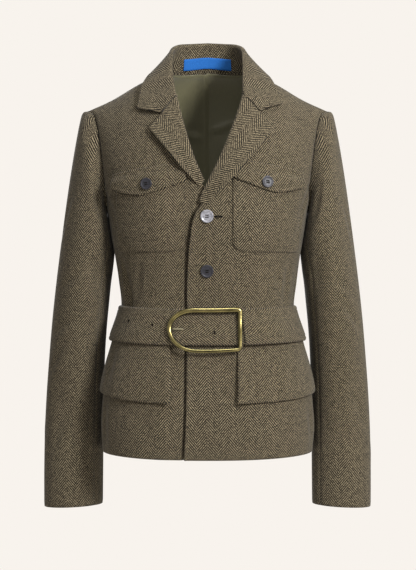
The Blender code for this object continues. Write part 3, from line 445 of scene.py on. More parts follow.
# %% Soft creases of the body
CREASES = table(
    "angle height lean half_length half_width depth",
    (70, -0.205, 52, 0.050, 0.011, 0.0022),
    (64, -0.238, 40, 0.040, 0.012, 0.0016),
    (46, -0.322, -24, 0.040, 0.010, 0.0016),
    (80, -0.330, 14, 0.060, 0.013, 0.0026),
    (33, -0.470, 10, 0.060, 0.016, 0.0014),
    (72, -0.545, -6, 0.050, 0.018, 0.0022),
    (12, -0.545, 9, 0.045, 0.014, 0.0012),
    (-72, -0.212, -48, 0.046, 0.012, 0.0024),
    (-60, -0.248, -36, 0.042, 0.010, 0.0014),
    (-44, -0.318, 30, 0.036, 0.011, 0.0018),
    (-82, -0.322, -10, 0.058, 0.012, 0.0024),
    (-30, -0.540, -8, 0.050, 0.017, 0.0015),
    (-70, -0.540, 8, 0.055, 0.016, 0.0024),
    (112, -0.215, 46, 0.060, 0.014, 0.0030),
    (126, -0.270, 30, 0.070, 0.015, 0.0026),
    (150, -0.300, 14, 0.080, 0.016, 0.0030),
    (172, -0.322, 82, 0.050, 0.012, 0.0018),
    (190, -0.338, 96, 0.060, 0.011, 0.0020),
    (214, -0.290, -16, 0.085, 0.017, 0.0032),
    (236, -0.262, -34, 0.065, 0.014, 0.0026),
    (250, -0.222, -50, 0.055, 0.013, 0.0030),
    (128, -0.500, -7, 0.080, 0.020, 0.0032),
    (165, -0.520, 5, 0.065, 0.019, 0.0022),
    (199, -0.500, -4, 0.080, 0.020, 0.0030),
    (238, -0.510, 8, 0.070, 0.018, 0.0030),
)
CREASE_RADIUS = 0.135
CREASE_LIP, CREASE_LIP_AT = 0.45, 1.25
CREASE_WAVE, CREASE_WAVES = 0.25, 3
ARCH_RUN = 0.19
BELT_MIDDLE, BELT_CALM = -0.391, 0.050
ARM_CALM_ANGLE, ARM_CALM_HEIGHT, ARM_CALM_RUN = 40, -0.25, 0.07


def lines_in(rows, across, along):
    """Depth of soft creases from a table of place, lean, half length, half width and depth."""
    depth = 0.0
    for at_across, at_along, lean, half_length, half_across, most in zip(*rows.values()):
        off, up = across - at_across, along - at_along
        tilt = math.radians(lean)
        down_line = off * math.sin(tilt) + up * math.cos(tilt)
        share = down_line / half_length
        beside = (off * math.cos(tilt) - up * math.sin(tilt)) / half_across
        beside = beside + CREASE_WAVE * np.sin(share * CREASE_WAVES)
        depth = depth + most * bump(share) * (bump(beside) - CREASE_LIP * bump(beside - CREASE_LIP_AT))
    return depth


def crease_depth(turn, level):
    """Depth of the creases on the body, none under the belt and none under the arms."""
    angle = (np.degrees(turn) + 90) % 360 - 90
    height = height_of(level) + ARCH_RUN * np.maximum(level, 0)
    rows = {**CREASES, "angle": np.radians(CREASES["angle"]) * CREASE_RADIUS}
    calm = 1 - bump((height - BELT_MIDDLE) / BELT_CALM)
    depth = calm * lines_in(rows, np.radians(angle) * CREASE_RADIUS, height)
    from_side = np.abs((angle + 180) % 360 - 180) - 90
    by_arm = bump(from_side / ARM_CALM_ANGLE) * bump((height - ARM_CALM_HEIGHT) / ARM_CALM_RUN)
    return depth * (1 - by_arm)


def skin(turn, level, lift=0.0, side=1):
    """Points of the creased cloth's outside, moved out by the lift, and the body's normals."""
    point = torso(turn, level)
    normal = torso_normal(turn, level)
    sunk = fold_depth(turn, level) + crease_depth(turn, level) + underlap(side, point[..., 0], point[..., 2])
    return point + normal * np.asarray(lift - sunk)[..., None], normal


def laid(side, x, z, lift):
    """Points lying on a front panel, by their place as seen from the front."""
    x, z = np.broadcast_arrays(np.asarray(x, float), np.asarray(z, float))
    level = level_at(x, z)
    return skin(turn_at(x, level), level, lift, side)


print("creases:", len(CREASES["angle"]), "on the body, the deepest", CREASES["depth"].max() * 1000, "mm")

# %% [markdown]
# A sheet of cloth is made as a tailor would describe it: a grid of points for the outside, the same grid
# moved in by the cloth's thickness for the inside, and a rounded turned edge between them. Solidify and
# Bevel modifiers do the same on a plain grid, but here the edge has to drop at a stitched seam and stay
# round at a free edge. Every sheet also brings its threads' map, in metres, so that the weave keeps its
# real size, and its flat cut, measured along the threads.

# %% Sheet maker
def lengths(grid, axis):
    """How far along the cloth each point lies, in one direction of its grid."""
    step = np.linalg.norm(np.diff(grid, axis=axis), axis=-1)
    start = np.zeros_like(np.take(step, [0], axis=axis))
    return np.concatenate([start, np.cumsum(step, axis=axis)], axis=axis)


def from_edges(grid, sides):
    """Distance along the cloth to the nearest of the named sides of a grid."""
    across, along = lengths(grid, 1), lengths(grid, 0)
    far = {"left": across, "right": across[:, -1:] - across, "bottom": along, "top": along[-1:] - along}
    return np.minimum.reduce([far[side] for side in sides.split()])


def groove(distance, at, half_across):
    """A narrow dip at a distance from an edge."""
    return np.exp(-(((distance - at) / half_across) ** 2))


def drawn_in(grid, sides, by):
    """The grid with the named sides moved in by a distance."""
    grid = grid.copy()
    lines = {
        "left": (grid[:, 0], grid[:, 1]),
        "right": (grid[:, -1], grid[:, -2]),
        "bottom": (grid[0], grid[1]),
        "top": (grid[-1], grid[-2]),
    }
    for side in sides.split():
        edge, inside = lines[side]
        edge += unit(inside - edge) * by
    return grid


EDGE_DROP, EDGE_ROUND = 0.22, 0.22


def shell(name, face, normals, thickness, weave, cloth_finish):
    """A sheet with rounded edges. Seen from outside, columns go to the right and rows upward."""
    rows, columns = face.shape[:2]
    count = rows * columns
    index = np.arange(count).reshape(rows, columns)
    thick = np.broadcast_to(np.asarray(thickness, float), (rows, columns))[..., None]
    outer, inner = face.copy(), face - normals * thick
    rim = np.concatenate([index[0, :-1], index[:-1, -1], index[-1, :0:-1], index[:0:-1, 0]])
    inwards = np.zeros_like(face)
    inwards[0] += unit(face[1] - face[0])
    inwards[-1] += unit(face[-2] - face[-1])
    inwards[:, 0] += unit(face[:, 1] - face[:, 0])
    inwards[:, -1] += unit(face[:, -2] - face[:, -1])
    flat_outer, flat_inner = outer.reshape(-1, 3), inner.reshape(-1, 3)
    at_rim = thick.reshape(-1, 1)[rim]
    drop = normals.reshape(-1, 3)[rim] * at_rim * EDGE_DROP
    middle = (flat_outer[rim] + flat_inner[rim]) / 2 - unit(inwards.reshape(-1, 3)[rim]) * at_rim * EDGE_ROUND
    flat_outer[rim] -= drop
    flat_inner[rim] += drop
    a, b = index[:-1, :-1].ravel(), index[:-1, 1:].ravel()
    c, d = index[1:, 1:].ravel(), index[1:, :-1].ravel()
    after = np.roll(rim, -1)
    ring = 2 * count + np.arange(len(rim))
    ring_after = np.roll(ring, -1)
    faces = np.concatenate([
        np.stack([a, b, c, d], axis=1),
        np.stack([d, c, b, a], axis=1) + count,
        np.stack([after, rim, ring, ring_after], axis=1),
        np.stack([ring_after, ring, rim + count, after + count], axis=1),
    ])
    mesh = bpy.data.meshes.new(name)
    mesh.from_pydata(np.concatenate([flat_outer, flat_inner, middle]).tolist(), [], faces.tolist())
    mesh.polygons.foreach_set("use_smooth", np.ones(len(faces), bool))
    flat_weave = weave.reshape(-1, 2)
    by_point = np.concatenate([flat_weave, flat_weave, flat_weave[rim]])
    corners = by_point[faces.ravel()].ravel().astype(np.float32)
    mesh.uv_layers.new(name="weave").uv.foreach_set("vector", corners)
    mesh.materials.append(cloth_finish)
    piece = bpy.data.objects.new(name, mesh)
    bpy.context.scene.collection.objects.link(piece)
    return piece


def cloth(name, face, normals, thickness, weave, cloth_finish=TWEED):
    """A sheet in the scene, with its flat cut: longest row, longest column and area."""
    piece = shell(f"{name}_cloth", face, normals, thickness, weave, cloth_finish)
    edges = np.cross(np.diff(face, axis=1)[:-1], np.diff(face, axis=0)[:, :-1])
    area = float(np.linalg.norm(edges, axis=-1).sum())
    width, length = float(lengths(face, 1).max()), float(lengths(face, 0).max())
    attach(piece, "root")
    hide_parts(name)
    size = f"{width * 1000:.0f} x {length * 1000:.0f} mm, {area * 1e4:.0f} cm2"
    print(f"{name}: cut {size}, {len(piece.data.polygons)} faces")
    return piece


# %% [markdown]
# The two fronts run from the side seam to the front edge, and from the hem to the shoulder. Wool tweed
# for a jacket like this is about 2 mm thick with its interlining. The armhole is cut as an oval seen from
# the side. The threads' map is measured round the body from the centre front and up from the hem, so the
# chevrons of pockets and flaps, which use the same map, line up with the front as a tailor matches them.
# A dip of a millimetre along each seam shows the sewing.

# %% Armholes and threads' map
WALL = 0.0020
SEAM = 0.0004
ARMHOLE_FRONT, ARMHOLE_BACK, ARMHOLE_NEAREST = 0.042, 0.056, 0.3
SHOULDER_X = 0.186
ARM_STEPS = 54
SIDE_TURN = math.pi / 2
SEAM_DIP, SEAM_DIP_WIDTH = 0.0012, 0.0035


def armhole(back):
    """Angle and level of the armhole's edge at even steps from the underarm to the shoulder."""
    level = np.linspace(0, 1, 321)
    reach = ARMHOLE_BACK if back else ARMHOLE_FRONT
    top = ridge(SHOULDER_X)
    middle, half = (top + UNDERARM) / 2, (top - UNDERARM) / 2
    inside = np.full_like(level, SIDE_TURN)
    outside = np.full_like(level, math.pi - ARMHOLE_NEAREST if back else ARMHOLE_NEAREST)
    for _ in range(50):
        turn = (inside + outside) / 2
        point = torso(turn, level)
        beyond = ((point[:, 1] - SIDE_Y) / reach) ** 2 + ((point[:, 2] - middle) / half) ** 2 > 1
        outside = np.where(beyond, turn, outside)
        inside = np.where(beyond, inside, turn)
    point = torso(inside, level)
    swing = np.arctan2(np.abs(point[:, 1] - SIDE_Y) / reach, (middle - point[:, 2]) / half)
    swing[0], swing[-1] = 0, math.pi
    steps = np.linspace(0, math.pi, ARM_STEPS + 1)
    levels = np.interp(steps, swing, level)
    turns = np.interp(steps, swing, inside)
    turns[0] = turns[-1] = SIDE_TURN
    return turns, levels


FRONT_TURNS, FRONT_LEVELS = armhole(False)
BACK_TURNS, BACK_LEVELS = armhole(True)
LOW_LEVELS = np.linspace(-1, 0, 97)[:-1]


def threads(turn, level, centre=0.0):
    """The weave's map on the body: metres round from the centre line and metres up from the hem."""
    share = np.linspace(0, 1, 41)
    ring = torso(centre + (turn - centre)[..., None] * share, level[..., None] * np.ones(41))
    line = torso(turn[..., None] * np.ones(41), -1 + (level[..., None] + 1) * share)
    around = np.linalg.norm(np.diff(ring, axis=-2), axis=-1).sum(axis=-1)
    up = np.linalg.norm(np.diff(line, axis=-2), axis=-1).sum(axis=-1)
    return np.stack([np.sign(turn - centre) * around, up], axis=-1)


print("armhole: front edge reaches", round(float(np.degrees(FRONT_TURNS.min())), 1), "degrees round the body")

# %% Fronts
FRONT_COLUMNS = 150
POINT_RUN = 0.025
EDGE_FIRST_X = 0.03
EDGE_RAISE, EDGE_RAISE_WIDTH, EDGE_RAISE_TOP, EDGE_RAISE_RUN = 0.0018, 0.005, -0.205, 0.03
GAP_DEPTH, GAP_WIDTH = 0.0055, 0.0034
DART_TURN, DART_RADIUS, DART_WIDTH = math.radians(54), 0.125, 0.022
DART_STEP, DART_DEPTH = 0.0020, 0.0062
DART_TOP, DART_RUN = -0.285, 0.070
DART_END, DART_END_RUN = -0.44, 0.04


def roll_x(side, z):
    return read(EDGE, "left" if side > 0 else "right", z)


def edge_x(side, level):
    """Where the front panel stops, at a level."""
    x = EDGE_FIRST_X * side
    for _ in range(20):
        z = height_of(level) + (ridge(x) - UNDERARM) * np.sin(rise_of(level))
        x = roll_x(side, z) + side * read(EDGE, "setback", z)
    return x


def front(side, word):
    turns, levels = [], []
    outer_turns = np.concatenate([np.full(len(LOW_LEVELS), SIDE_TURN), FRONT_TURNS])
    for level, outer in zip(np.concatenate([LOW_LEVELS, FRONT_LEVELS]), outer_turns):
        inner = turn_at(edge_x(side, level), level)
        start, end = (inner, outer) if side > 0 else (-outer, inner)
        turns.append(spread(start, end, lambda fine: np.full_like(fine, level), FRONT_COLUMNS))
        levels.append(np.full(FRONT_COLUMNS, level))
    turns, levels = np.array(turns), np.array(levels)
    seams = "top right" if side > 0 else "top left"
    flat, _ = skin(turns, levels, 0.0, side)
    point = flat[-1, -1 if side > 0 else 0]
    to_point = np.linalg.norm(flat - point, axis=-1)
    dip = SEAM_DIP * groove(from_edges(flat, seams), 0, SEAM_DIP_WIDTH) * smooth(to_point / POINT_RUN)
    x, z = flat[..., 0], flat[..., 2]
    calm = 1 - bump((z - BELT_MIDDLE) / BELT_CALM)
    below_lapel = smooth((EDGE_RAISE_TOP - z) / EDGE_RAISE_RUN)
    if side > 0:
        raised = EDGE_RAISE * groove(from_edges(flat, "left"), 0, EDGE_RAISE_WIDTH)
        dip = dip - raised * calm * below_lapel
    else:
        beside = (-turns - DART_TURN) * DART_RADIUS
        dart = smooth(1 - beside / DART_WIDTH) * smooth(beside / DART_STEP)
        dart = dart * smooth((DART_TOP - z) / DART_RUN) * smooth((z - DART_END) / DART_END_RUN)
        gap = groove(x - roll_x(1, z), 0, GAP_WIDTH) * below_lapel
        dip = dip + DART_DEPTH * dart + GAP_DEPTH * gap
    face, normals = skin(turns, levels, -dip, side)
    face = drawn_in(face, seams, SEAM / 2)
    cloth(f"front_{word}", face, normals, WALL, threads(turns, levels))


front(1, "left")
front(-1, "right")

# %% [markdown]
# The back is one panel with a hollowed neck, and the satin lining hangs just inside it. The lining shows
# through the open neck: it has a pleat for ease down the middle, pressed to one side, and a slack fold
# where it is sewn below the collar. It is a separate sheet, thinner than the wool.

# %% Back and lining
NECK_X, NECK_DROP, NECK_CURVE = 0.072, 0.23, 2.6
BACK_COLUMNS = 113
LINING_GAP, LINING_WALL, LINING_INSET = 0.0008, 0.0010, 0.0020
LINING_CREASES = table(
    "across along lean half_length half_width depth",
    (0.026, 0.515, 78, 0.034, 0.007, 0.0018),
    (-0.030, 0.500, -70, 0.036, 0.008, 0.0014),
    (0.040, 0.440, 30, 0.050, 0.012, 0.0016),
    (-0.045, 0.420, -28, 0.055, 0.012, 0.0016),
    (0.020, 0.330, 10, 0.080, 0.014, 0.0018),
    (-0.060, 0.260, -12, 0.080, 0.015, 0.0018),
    (0.090, 0.230, 14, 0.080, 0.015, 0.0018),
)
PLEAT_DEPTH, PLEAT_WIDTH, PLEAT_EDGE = 0.0030, 0.020, 0.002
LINING_FIRST_ROW, LINING_LEAST = 7, -0.0002


def neck_share(x):
    """How much of the shoulder level is left at the back neck."""
    return 1 - NECK_DROP * (1 - np.minimum(np.abs(x) / NECK_X, 1) ** NECK_CURVE)


def back_grid(columns, levels, outer_turns):
    turns, heights = [], []
    for level, outer in zip(levels, outer_turns):
        def dropped(fine, level=level):
            x = half_width(level) * np.abs(np.sin(fine)) ** (2 / ROUND)
            return level * np.where(level > 0, neck_share(x), 1.0)

        turn = spread(outer, 2 * math.pi - outer, dropped, columns)
        turns.append(turn)
        heights.append(dropped(turn))
    return np.array(turns), np.array(heights)


def back_and_lining():
    levels = np.concatenate([LOW_LEVELS, BACK_LEVELS])
    outer = np.concatenate([np.full(len(LOW_LEVELS), SIDE_TURN), BACK_TURNS])
    turn, level = back_grid(BACK_COLUMNS, levels, outer)
    weave = threads(turn, level, math.pi)
    flat, _ = skin(turn, level)
    to_point = np.minimum(*(np.linalg.norm(flat - flat[-1, k], axis=-1) for k in (0, -1)))
    seams = "left right top"
    dip = SEAM_DIP * groove(from_edges(flat, seams), 0, SEAM_DIP_WIDTH) * smooth(to_point / POINT_RUN)
    face, normals = skin(turn, level, -dip)
    face = drawn_in(face, seams, SEAM / 2)
    cloth("back", face, normals, WALL, weave)

    keep = slice(LINING_FIRST_ROW, None)
    turn, level, weave = turn[keep], level[keep], weave[keep]
    across, along = weave[..., 0], weave[..., 1]
    pleat = PLEAT_DEPTH * smooth(1 - across / PLEAT_WIDTH) * smooth(across / PLEAT_EDGE)
    slack = np.maximum(lines_in(LINING_CREASES, -across, along), LINING_LEAST) + pleat
    face, normals = skin(turn, level, -WALL - LINING_GAP - dip[keep] - slack)
    face = drawn_in(face, "left right top bottom", LINING_INSET)
    cloth("lining_back", face, normals, LINING_WALL, weave, SATIN)


back_and_lining()

# %% [markdown]
# The lapels are the fronts' facings, turned back over the chest. The roll is a soft bend of 4.5 mm
# radius, pressed flatter towards the notch, and the edge is stitched a few millimetres in. The grid
# starts under the front, goes round the roll and lies on the chest, so light falls off across the bend as
# it does on cloth.

# %% Lapels
ROLL, TUCK = 0.0045, 0.008
ROLL_END, LAPEL_END, END_RUN = 0.42, 0.30, 0.040
TURNED_WALL = 0.0020
LAPEL_BULGE, LAPEL_REST = 0.0020, 0.0010
LAPEL_EDGE_RISE = {1: 0.0024, -1: 0.0058}
NOTCH_SHARE = 0.51
LAPEL_COLUMNS, LAPEL_ROWS = 47, 91
ROLL_TURNS, TUCK_POINTS = 15, 5
GORGE_GAP = 0.0018
LAPEL_LEFT = table(
    "roll_height outer_x outer_height ride",
    (-0.2060, -0.0010, -0.2105, 0.0000),
    (-0.1850, 0.0150, -0.1930, 0.0024),
    (-0.1550, 0.0380, -0.1695, 0.0058),
    (-0.1200, 0.0640, -0.1380, 0.0034),
    (-0.0800, 0.0840, -0.1140, 0.0004),
    (-0.0400, 0.0976, -0.0960, 0.0000),
)
LAPEL_RIGHT = table(
    "roll_height outer_x outer_height ride",
    (-0.1735, -0.0125, -0.1825, 0.0012),
    (-0.1480, -0.0350, -0.1590, 0.0042),
    (-0.1180, -0.0560, -0.1330, 0.0022),
    (-0.0840, -0.0725, -0.1130, 0.0004),
    (-0.0440, -0.0857, -0.0972, 0.0000),
)
STITCH_IN, STITCH_HALF, STITCH_DIP = 0.0055, 0.0011, 0.0006


def lapel_rows(side):
    return LAPEL_LEFT if side > 0 else LAPEL_RIGHT


def lapel_line(side, z, end_x, end_z, ride, shares):
    """One line of a lapel: from under the front panel, round the roll and over the chest to each share."""
    x = float(roll_x(side, z))
    start, normal = laid(side, x, z, 0.0)
    end, _ = laid(side, end_x, end_z, 0.0)
    across = end - start
    across = unit(across - normal * (across @ normal))
    full = smooth((z - lapel_rows(side)["roll_height"][0]) / END_RUN)
    roll = ROLL * (ROLL_END + (1 - ROLL_END) * full)
    centre = start + across * roll - normal * WALL / 2
    into = np.linspace(1, 0, TUCK_POINTS, endpoint=False)
    tuck = [centre - normal * roll + across * TUCK * s for s in into]
    angle = np.linspace(0, math.pi, ROLL_TURNS)[:, None]
    fold = centre - normal * roll * np.cos(angle) - across * roll * np.sin(angle)
    first = roll / np.linalg.norm(end - start)
    t = first + (1 - first) * shares
    high, low = roll - WALL / 2, (LAPEL_REST + TURNED_WALL) * (LAPEL_END + (1 - LAPEL_END) * full) + ride
    lift = high + (low - high) * t + LAPEL_BULGE * full * bump(2 * t - 1)
    lift = lift + LAPEL_EDGE_RISE[side] * full * smooth((t - NOTCH_SHARE) / (1 - NOTCH_SHARE))
    over, _ = laid(side, x + (end_x - x) * t, z + (end_z - z) * t, lift)
    return tuck, fold, over


def lapel(side, word):
    rows = lapel_rows(side)
    heights = rows["roll_height"]
    at = np.interp(np.linspace(0, 1, LAPEL_ROWS), np.linspace(0, 1, len(heights)), heights)
    ends = [read(rows, name, at) for name in ("outer_x", "outer_height", "ride")]
    shares = np.linspace(0, 1, LAPEL_COLUMNS)[1:]
    grid = np.array([np.concatenate(lapel_line(side, *line, shares)) for line in zip(at, *ends)])
    roll_at = TUCK_POINTS + ROLL_TURNS // 2
    grain = unit(grid[-1, -1] - grid[0, -1])
    away = (grid - grid[0, -1]).reshape(-1, 3)
    outwards = unit(np.cross(grain, grid[0, -1] - grid[-1, roll_at]))
    weave = np.stack([away @ np.cross(outwards, grain), away @ grain], axis=-1).reshape(*grid.shape[:2], 2)
    if side < 0:
        grid, weave = grid[:, ::-1], weave[:, ::-1]
    grid = drawn_in(grid, "top", GORGE_GAP / 2)
    edge = "right" if side > 0 else "left"
    normals = grid_normals(grid)
    stitch = STITCH_DIP * groove(from_edges(grid, f"{edge} top"), STITCH_IN, STITCH_HALF)
    thin = (LAPEL_END + (1 - LAPEL_END) * smooth((at - heights[0]) / END_RUN))[:, None]
    face = grid - normals * (stitch * thin)[..., None]
    cloth(f"lapel_{word}", face, normals, TURNED_WALL * thin, weave)


lapel(1, "left")
lapel(-1, "right")

# %% [markdown]
# The collar is cut as one curved strip. Its stand goes up the neck, it folds over and its fall lies down
# on the shoulders, and its ends are sewn to the lapels along the gorge up to the notch. Each section is
# drawn from the neck seam over the fold to the outer edge and the sections are joined along the neck, as
# a loft. A plain blue ribbon is sewn inside the stand.

# %% Collar and label
COLLAR = table(
    "along fold_x fold_y fold_z edge_x edge_level",
    (0.00, 0.0000, 0.0500, 0.0520, 0.0000, 1.36),
    (0.15, 0.0270, 0.0450, 0.0500, 0.0360, 1.35),
    (0.30, 0.0440, 0.0300, 0.0465, 0.0660, 1.26),
    (0.45, 0.0530, 0.0080, 0.0380, 0.0850, 1.04),
    (0.65, 0.0550, -0.0250, 0.0160, 0.0975, 0.80),
    (0.85, 0.0535, -0.0530, -0.0150, 0.1035, 0.66),
    (1.00, 0.0500, -0.0720, -0.0420, 0.1070, 0.58),
)
COLLAR_SHOULDER, COLLAR_LEAN, NECK_SETBACK = 0.45, 0.003, 0.006
COLLAR_SHIFT, COLLAR_SHIFT_RUN, NECK_SUNK = 0.0050, 0.30, 0.0024
FALL_LIFT, FALL_RISE = 0.0036, 0.0036
GORGE_HEIGHT = {1: -0.040, -1: -0.044}
GORGE_FROM, GORGE_STAND = 0.72, 0.35
STAND_ROWS, COLLAR_COLUMNS, COLLAR_HALF = 12, 37, 78
COLLAR_POINT = {1: (0.1110, -0.0575), -1: (-0.1035, -0.0665)}
LABEL_HALF_WIDTH, LABEL_FROM, LABEL_TO = 0.039, 0.12, 0.55
LABEL_WALL, LABEL_LIFT = 0.0010, 0.0010
LABEL_COLUMNS, LABEL_ROWS = 33, 9


def shoulders(x, level, lift):
    """A point over the shoulder: level 0 to 1 climbs the front, 1 to 2 goes down the back."""
    behind = level > 1
    height = np.where(behind, 2 - level, level)
    turn = turn_at(x, height)
    half_turn = np.where(x < 0, -math.pi, math.pi)
    return skin(np.where(behind, half_turn - turn, turn), height, lift)


def neckline(side, along):
    """Distance from the middle, and level over the shoulder, of the seam that holds the collar."""
    if along <= COLLAR_SHOULDER:
        x = side * max(NECK_X * along / COLLAR_SHOULDER, 1e-5)
        return x, 2 - float(neck_share(x))
    share = (along - COLLAR_SHOULDER) / (1 - COLLAR_SHOULDER)
    z = ridge(NECK_X) + (GORGE_HEIGHT[side] - ridge(NECK_X)) * share
    x = float(roll_x(side, z)) + side * NECK_SETBACK
    return x, float(level_at(x, z))


def gorge_line(side):
    """The collar's end: along the lapel's top edge as far as the notch, then out to the collar point."""
    top = GORGE_HEIGHT[side]
    end_x, end_z = (lapel_rows(side)[name][-1] for name in ("outer_x", "outer_height"))
    half = COLLAR_COLUMNS // 2
    shares = np.linspace(0, NOTCH_SHARE, half + 1)[1:]
    _, fold, over = lapel_line(side, top, end_x, end_z, 0.0, shares)
    roll = float(roll_x(side, top))
    notch = np.array([roll + (end_x - roll) * NOTCH_SHARE, top + (end_z - top) * NOTCH_SHARE])
    t = np.linspace(0, 1, COLLAR_COLUMNS - half)[1:]
    plan = notch + (np.array(COLLAR_POINT[side]) - notch) * t[:, None]
    point = laid(side, plan[:, 0], plan[:, 1], FALL_LIFT + FALL_RISE * t)[0]
    lift = over[-1] - laid(side, *notch, FALL_LIFT)[0]
    point = point + lift * (1 - t)[:, None]
    stand_part = np.linspace(0, GORGE_STAND, STAND_ROWS + 1)[:-1]
    round_part = np.linspace(GORGE_STAND, 1, ROLL_TURNS)
    cut = np.concatenate([stand_part, round_part]) * (ROLL_TURNS - 1)
    bend = np.stack([np.interp(cut, range(ROLL_TURNS), axis) for axis in fold.T], axis=-1)
    return np.concatenate([bend, over, point])


GORGE_LINES = {side: gorge_line(side) for side in (1, -1)}


def collar_section(side, along):
    """One section of the collar: up the stand, round the fold and down the fall."""
    x, level = neckline(side, along)
    seam = shoulders(np.float64(x), np.float64(level), SEAM - NECK_SUNK)[0]
    fold = np.array([read(COLLAR, name, along) for name in ("fold_x", "fold_y", "fold_z")])
    fold[0] *= side
    t = np.linspace(0, 1, COLLAR_COLUMNS)
    lean = COLLAR_LEAN * smooth((along - COLLAR_SHOULDER) / COLLAR_SHOULDER)
    if side < 0:
        lean = lean + COLLAR_SHIFT * bump((along - COLLAR_SHOULDER) / COLLAR_SHIFT_RUN)
    end_x, end_level = side * read(COLLAR, "edge_x", along) + lean, read(COLLAR, "edge_level", along)
    under = shoulders(x + (end_x - x) * t, level + (end_level - level) * t, FALL_LIFT + FALL_RISE * t**2)[0]
    apex = unit(fold - (seam + under[-1]) / 2)
    out = under[-1] - seam
    out = unit(out - apex * (out @ apex))
    centre = fold - apex * ROLL
    angle = np.linspace(0, math.pi, ROLL_TURNS)[:, None]
    bend = centre - out * ROLL * np.cos(angle) + apex * ROLL * np.sin(angle)
    stand = [seam + (bend[0] - seam) * s / STAND_ROWS for s in range(STAND_ROWS)]
    fall = under + (bend[-1] - under[0]) * (1 - t)[:, None]
    free = np.concatenate([stand, bend, fall[1:]])
    return free + (GORGE_LINES[side] - free) * smooth((along - GORGE_FROM) / (1 - GORGE_FROM))


def collar():
    along = np.linspace(1, 0, COLLAR_HALF + 1)
    left = [collar_section(1, a) for a in along]
    right = [collar_section(-1, a) for a in along[-2::-1]]
    grid = drawn_in(np.array(left + right), "top bottom", GORGE_GAP / 2)
    normals = grid_normals(grid)
    stitch = STITCH_DIP * groove(from_edges(grid, "right"), STITCH_IN, STITCH_HALF)
    down, around = lengths(grid, 1), lengths(grid, 0)
    fold_at = STAND_ROWS + ROLL_TURNS // 2
    fold, edge = (around[:, k] - around[COLLAR_HALF, k] for k in (fold_at, -1))
    below = down - down[:, fold_at, None]
    half_angle = (edge[-1] - edge[0] - fold[-1] + fold[0]) / 2 / below[:, -1].mean()
    radius = (fold[-1] - fold[0]) / 2 / half_angle
    swing = (fold / radius)[:, None]
    weave = np.stack([(radius + below) * np.sin(swing), (radius + below) * np.cos(swing) - radius], axis=-1)
    face = grid - normals * stitch[..., None]
    cloth("collar", face, normals, TURNED_WALL, weave)


def label():
    """A plain ribbon on the inside of the stand."""
    rows = []
    shares = np.linspace(LABEL_FROM, LABEL_TO, LABEL_ROWS)
    for x in np.linspace(LABEL_HALF_WIDTH, -LABEL_HALF_WIDTH, LABEL_COLUMNS):
        side = 1 if x >= 0 else -1
        stand = collar_section(side, abs(x) / NECK_X * COLLAR_SHOULDER)
        rows.append([stand[0] + (stand[STAND_ROWS] - stand[0]) * s for s in shares])
    flat = np.array(rows)
    normals = grid_normals(flat)
    weave = np.stack([lengths(flat, 1), lengths(flat, 0)], axis=-1)
    face = flat + normals * (LABEL_LIFT + LABEL_WALL)
    cloth("label", face, normals, LABEL_WALL, weave, RIBBON)


collar()
label()

# %% [markdown]
# A tailored sleeve is cut in two pieces, a wide top sleeve and a narrow under sleeve, and set into the
# armhole with a little fullness. It is drawn as rings from the armhole to the cuff, each ring an oval
# between an inner and an outer line, the first rings blend into the armhole, and the top edge is turned
# in for the seam. The sleeve hangs with a slight bend, so drag lines gather inside the elbow and under
# the arm.

# %% Sleeves
SLEEVE = table(
    "ring inner_x inner_z outer_x outer_z middle_y half_depth",
    (0, 0.1540, -0.2180, 0.1860, -0.0595, 0.013, 0.049),
    (1, 0.1562, -0.2194, 0.1925, -0.0612, 0.013, 0.053),
    (2, 0.1540, -0.2260, 0.1968, -0.0690, 0.013, 0.056),
    (3, 0.1514, -0.2370, 0.2005, -0.0870, 0.013, 0.059),
    (4, 0.1486, -0.2560, 0.2058, -0.1150, 0.014, 0.061),
    (5, 0.1450, -0.2780, 0.2120, -0.1520, 0.015, 0.061),
    (6, 0.1470, -0.3020, 0.2182, -0.1930, 0.016, 0.060),
    (7, 0.1506, -0.3280, 0.2245, -0.2380, 0.018, 0.058),
    (8, 0.1538, -0.3580, 0.2310, -0.2850, 0.022, 0.0565),
    (9, 0.1574, -0.3930, 0.2375, -0.3350, 0.027, 0.0540),
    (10, 0.1604, -0.4330, 0.2436, -0.3880, 0.033, 0.0512),
    (11, 0.1624, -0.4770, 0.2486, -0.4420, 0.039, 0.0485),
    (12, 0.1635, -0.5240, 0.2530, -0.4970, 0.043, 0.0462),
    (13, 0.1641, -0.5735, 0.2560, -0.5545, 0.045, 0.0443),
    (14, 0.1644, -0.6260, 0.2572, -0.6180, 0.044, 0.0424),
    (15, 0.1647, -0.6725, 0.2570, -0.6770, 0.042, 0.0410),
)
CAP_RINGS = 3.0
FRONT_SEAM_STEP, BACK_SEAM_STEP = 12, 18
SLEEVE_FOLDS = table(
    "ring half_ring angle half_angle depth",
    (3.6, 1.4, 70, 26, 0.0040),
    (7.2, 1.2, 60, 34, 0.0040),
    (9.0, 1.0, 285, 40, 0.0035),
    (12.0, 1.1, 120, 36, 0.0025),
)
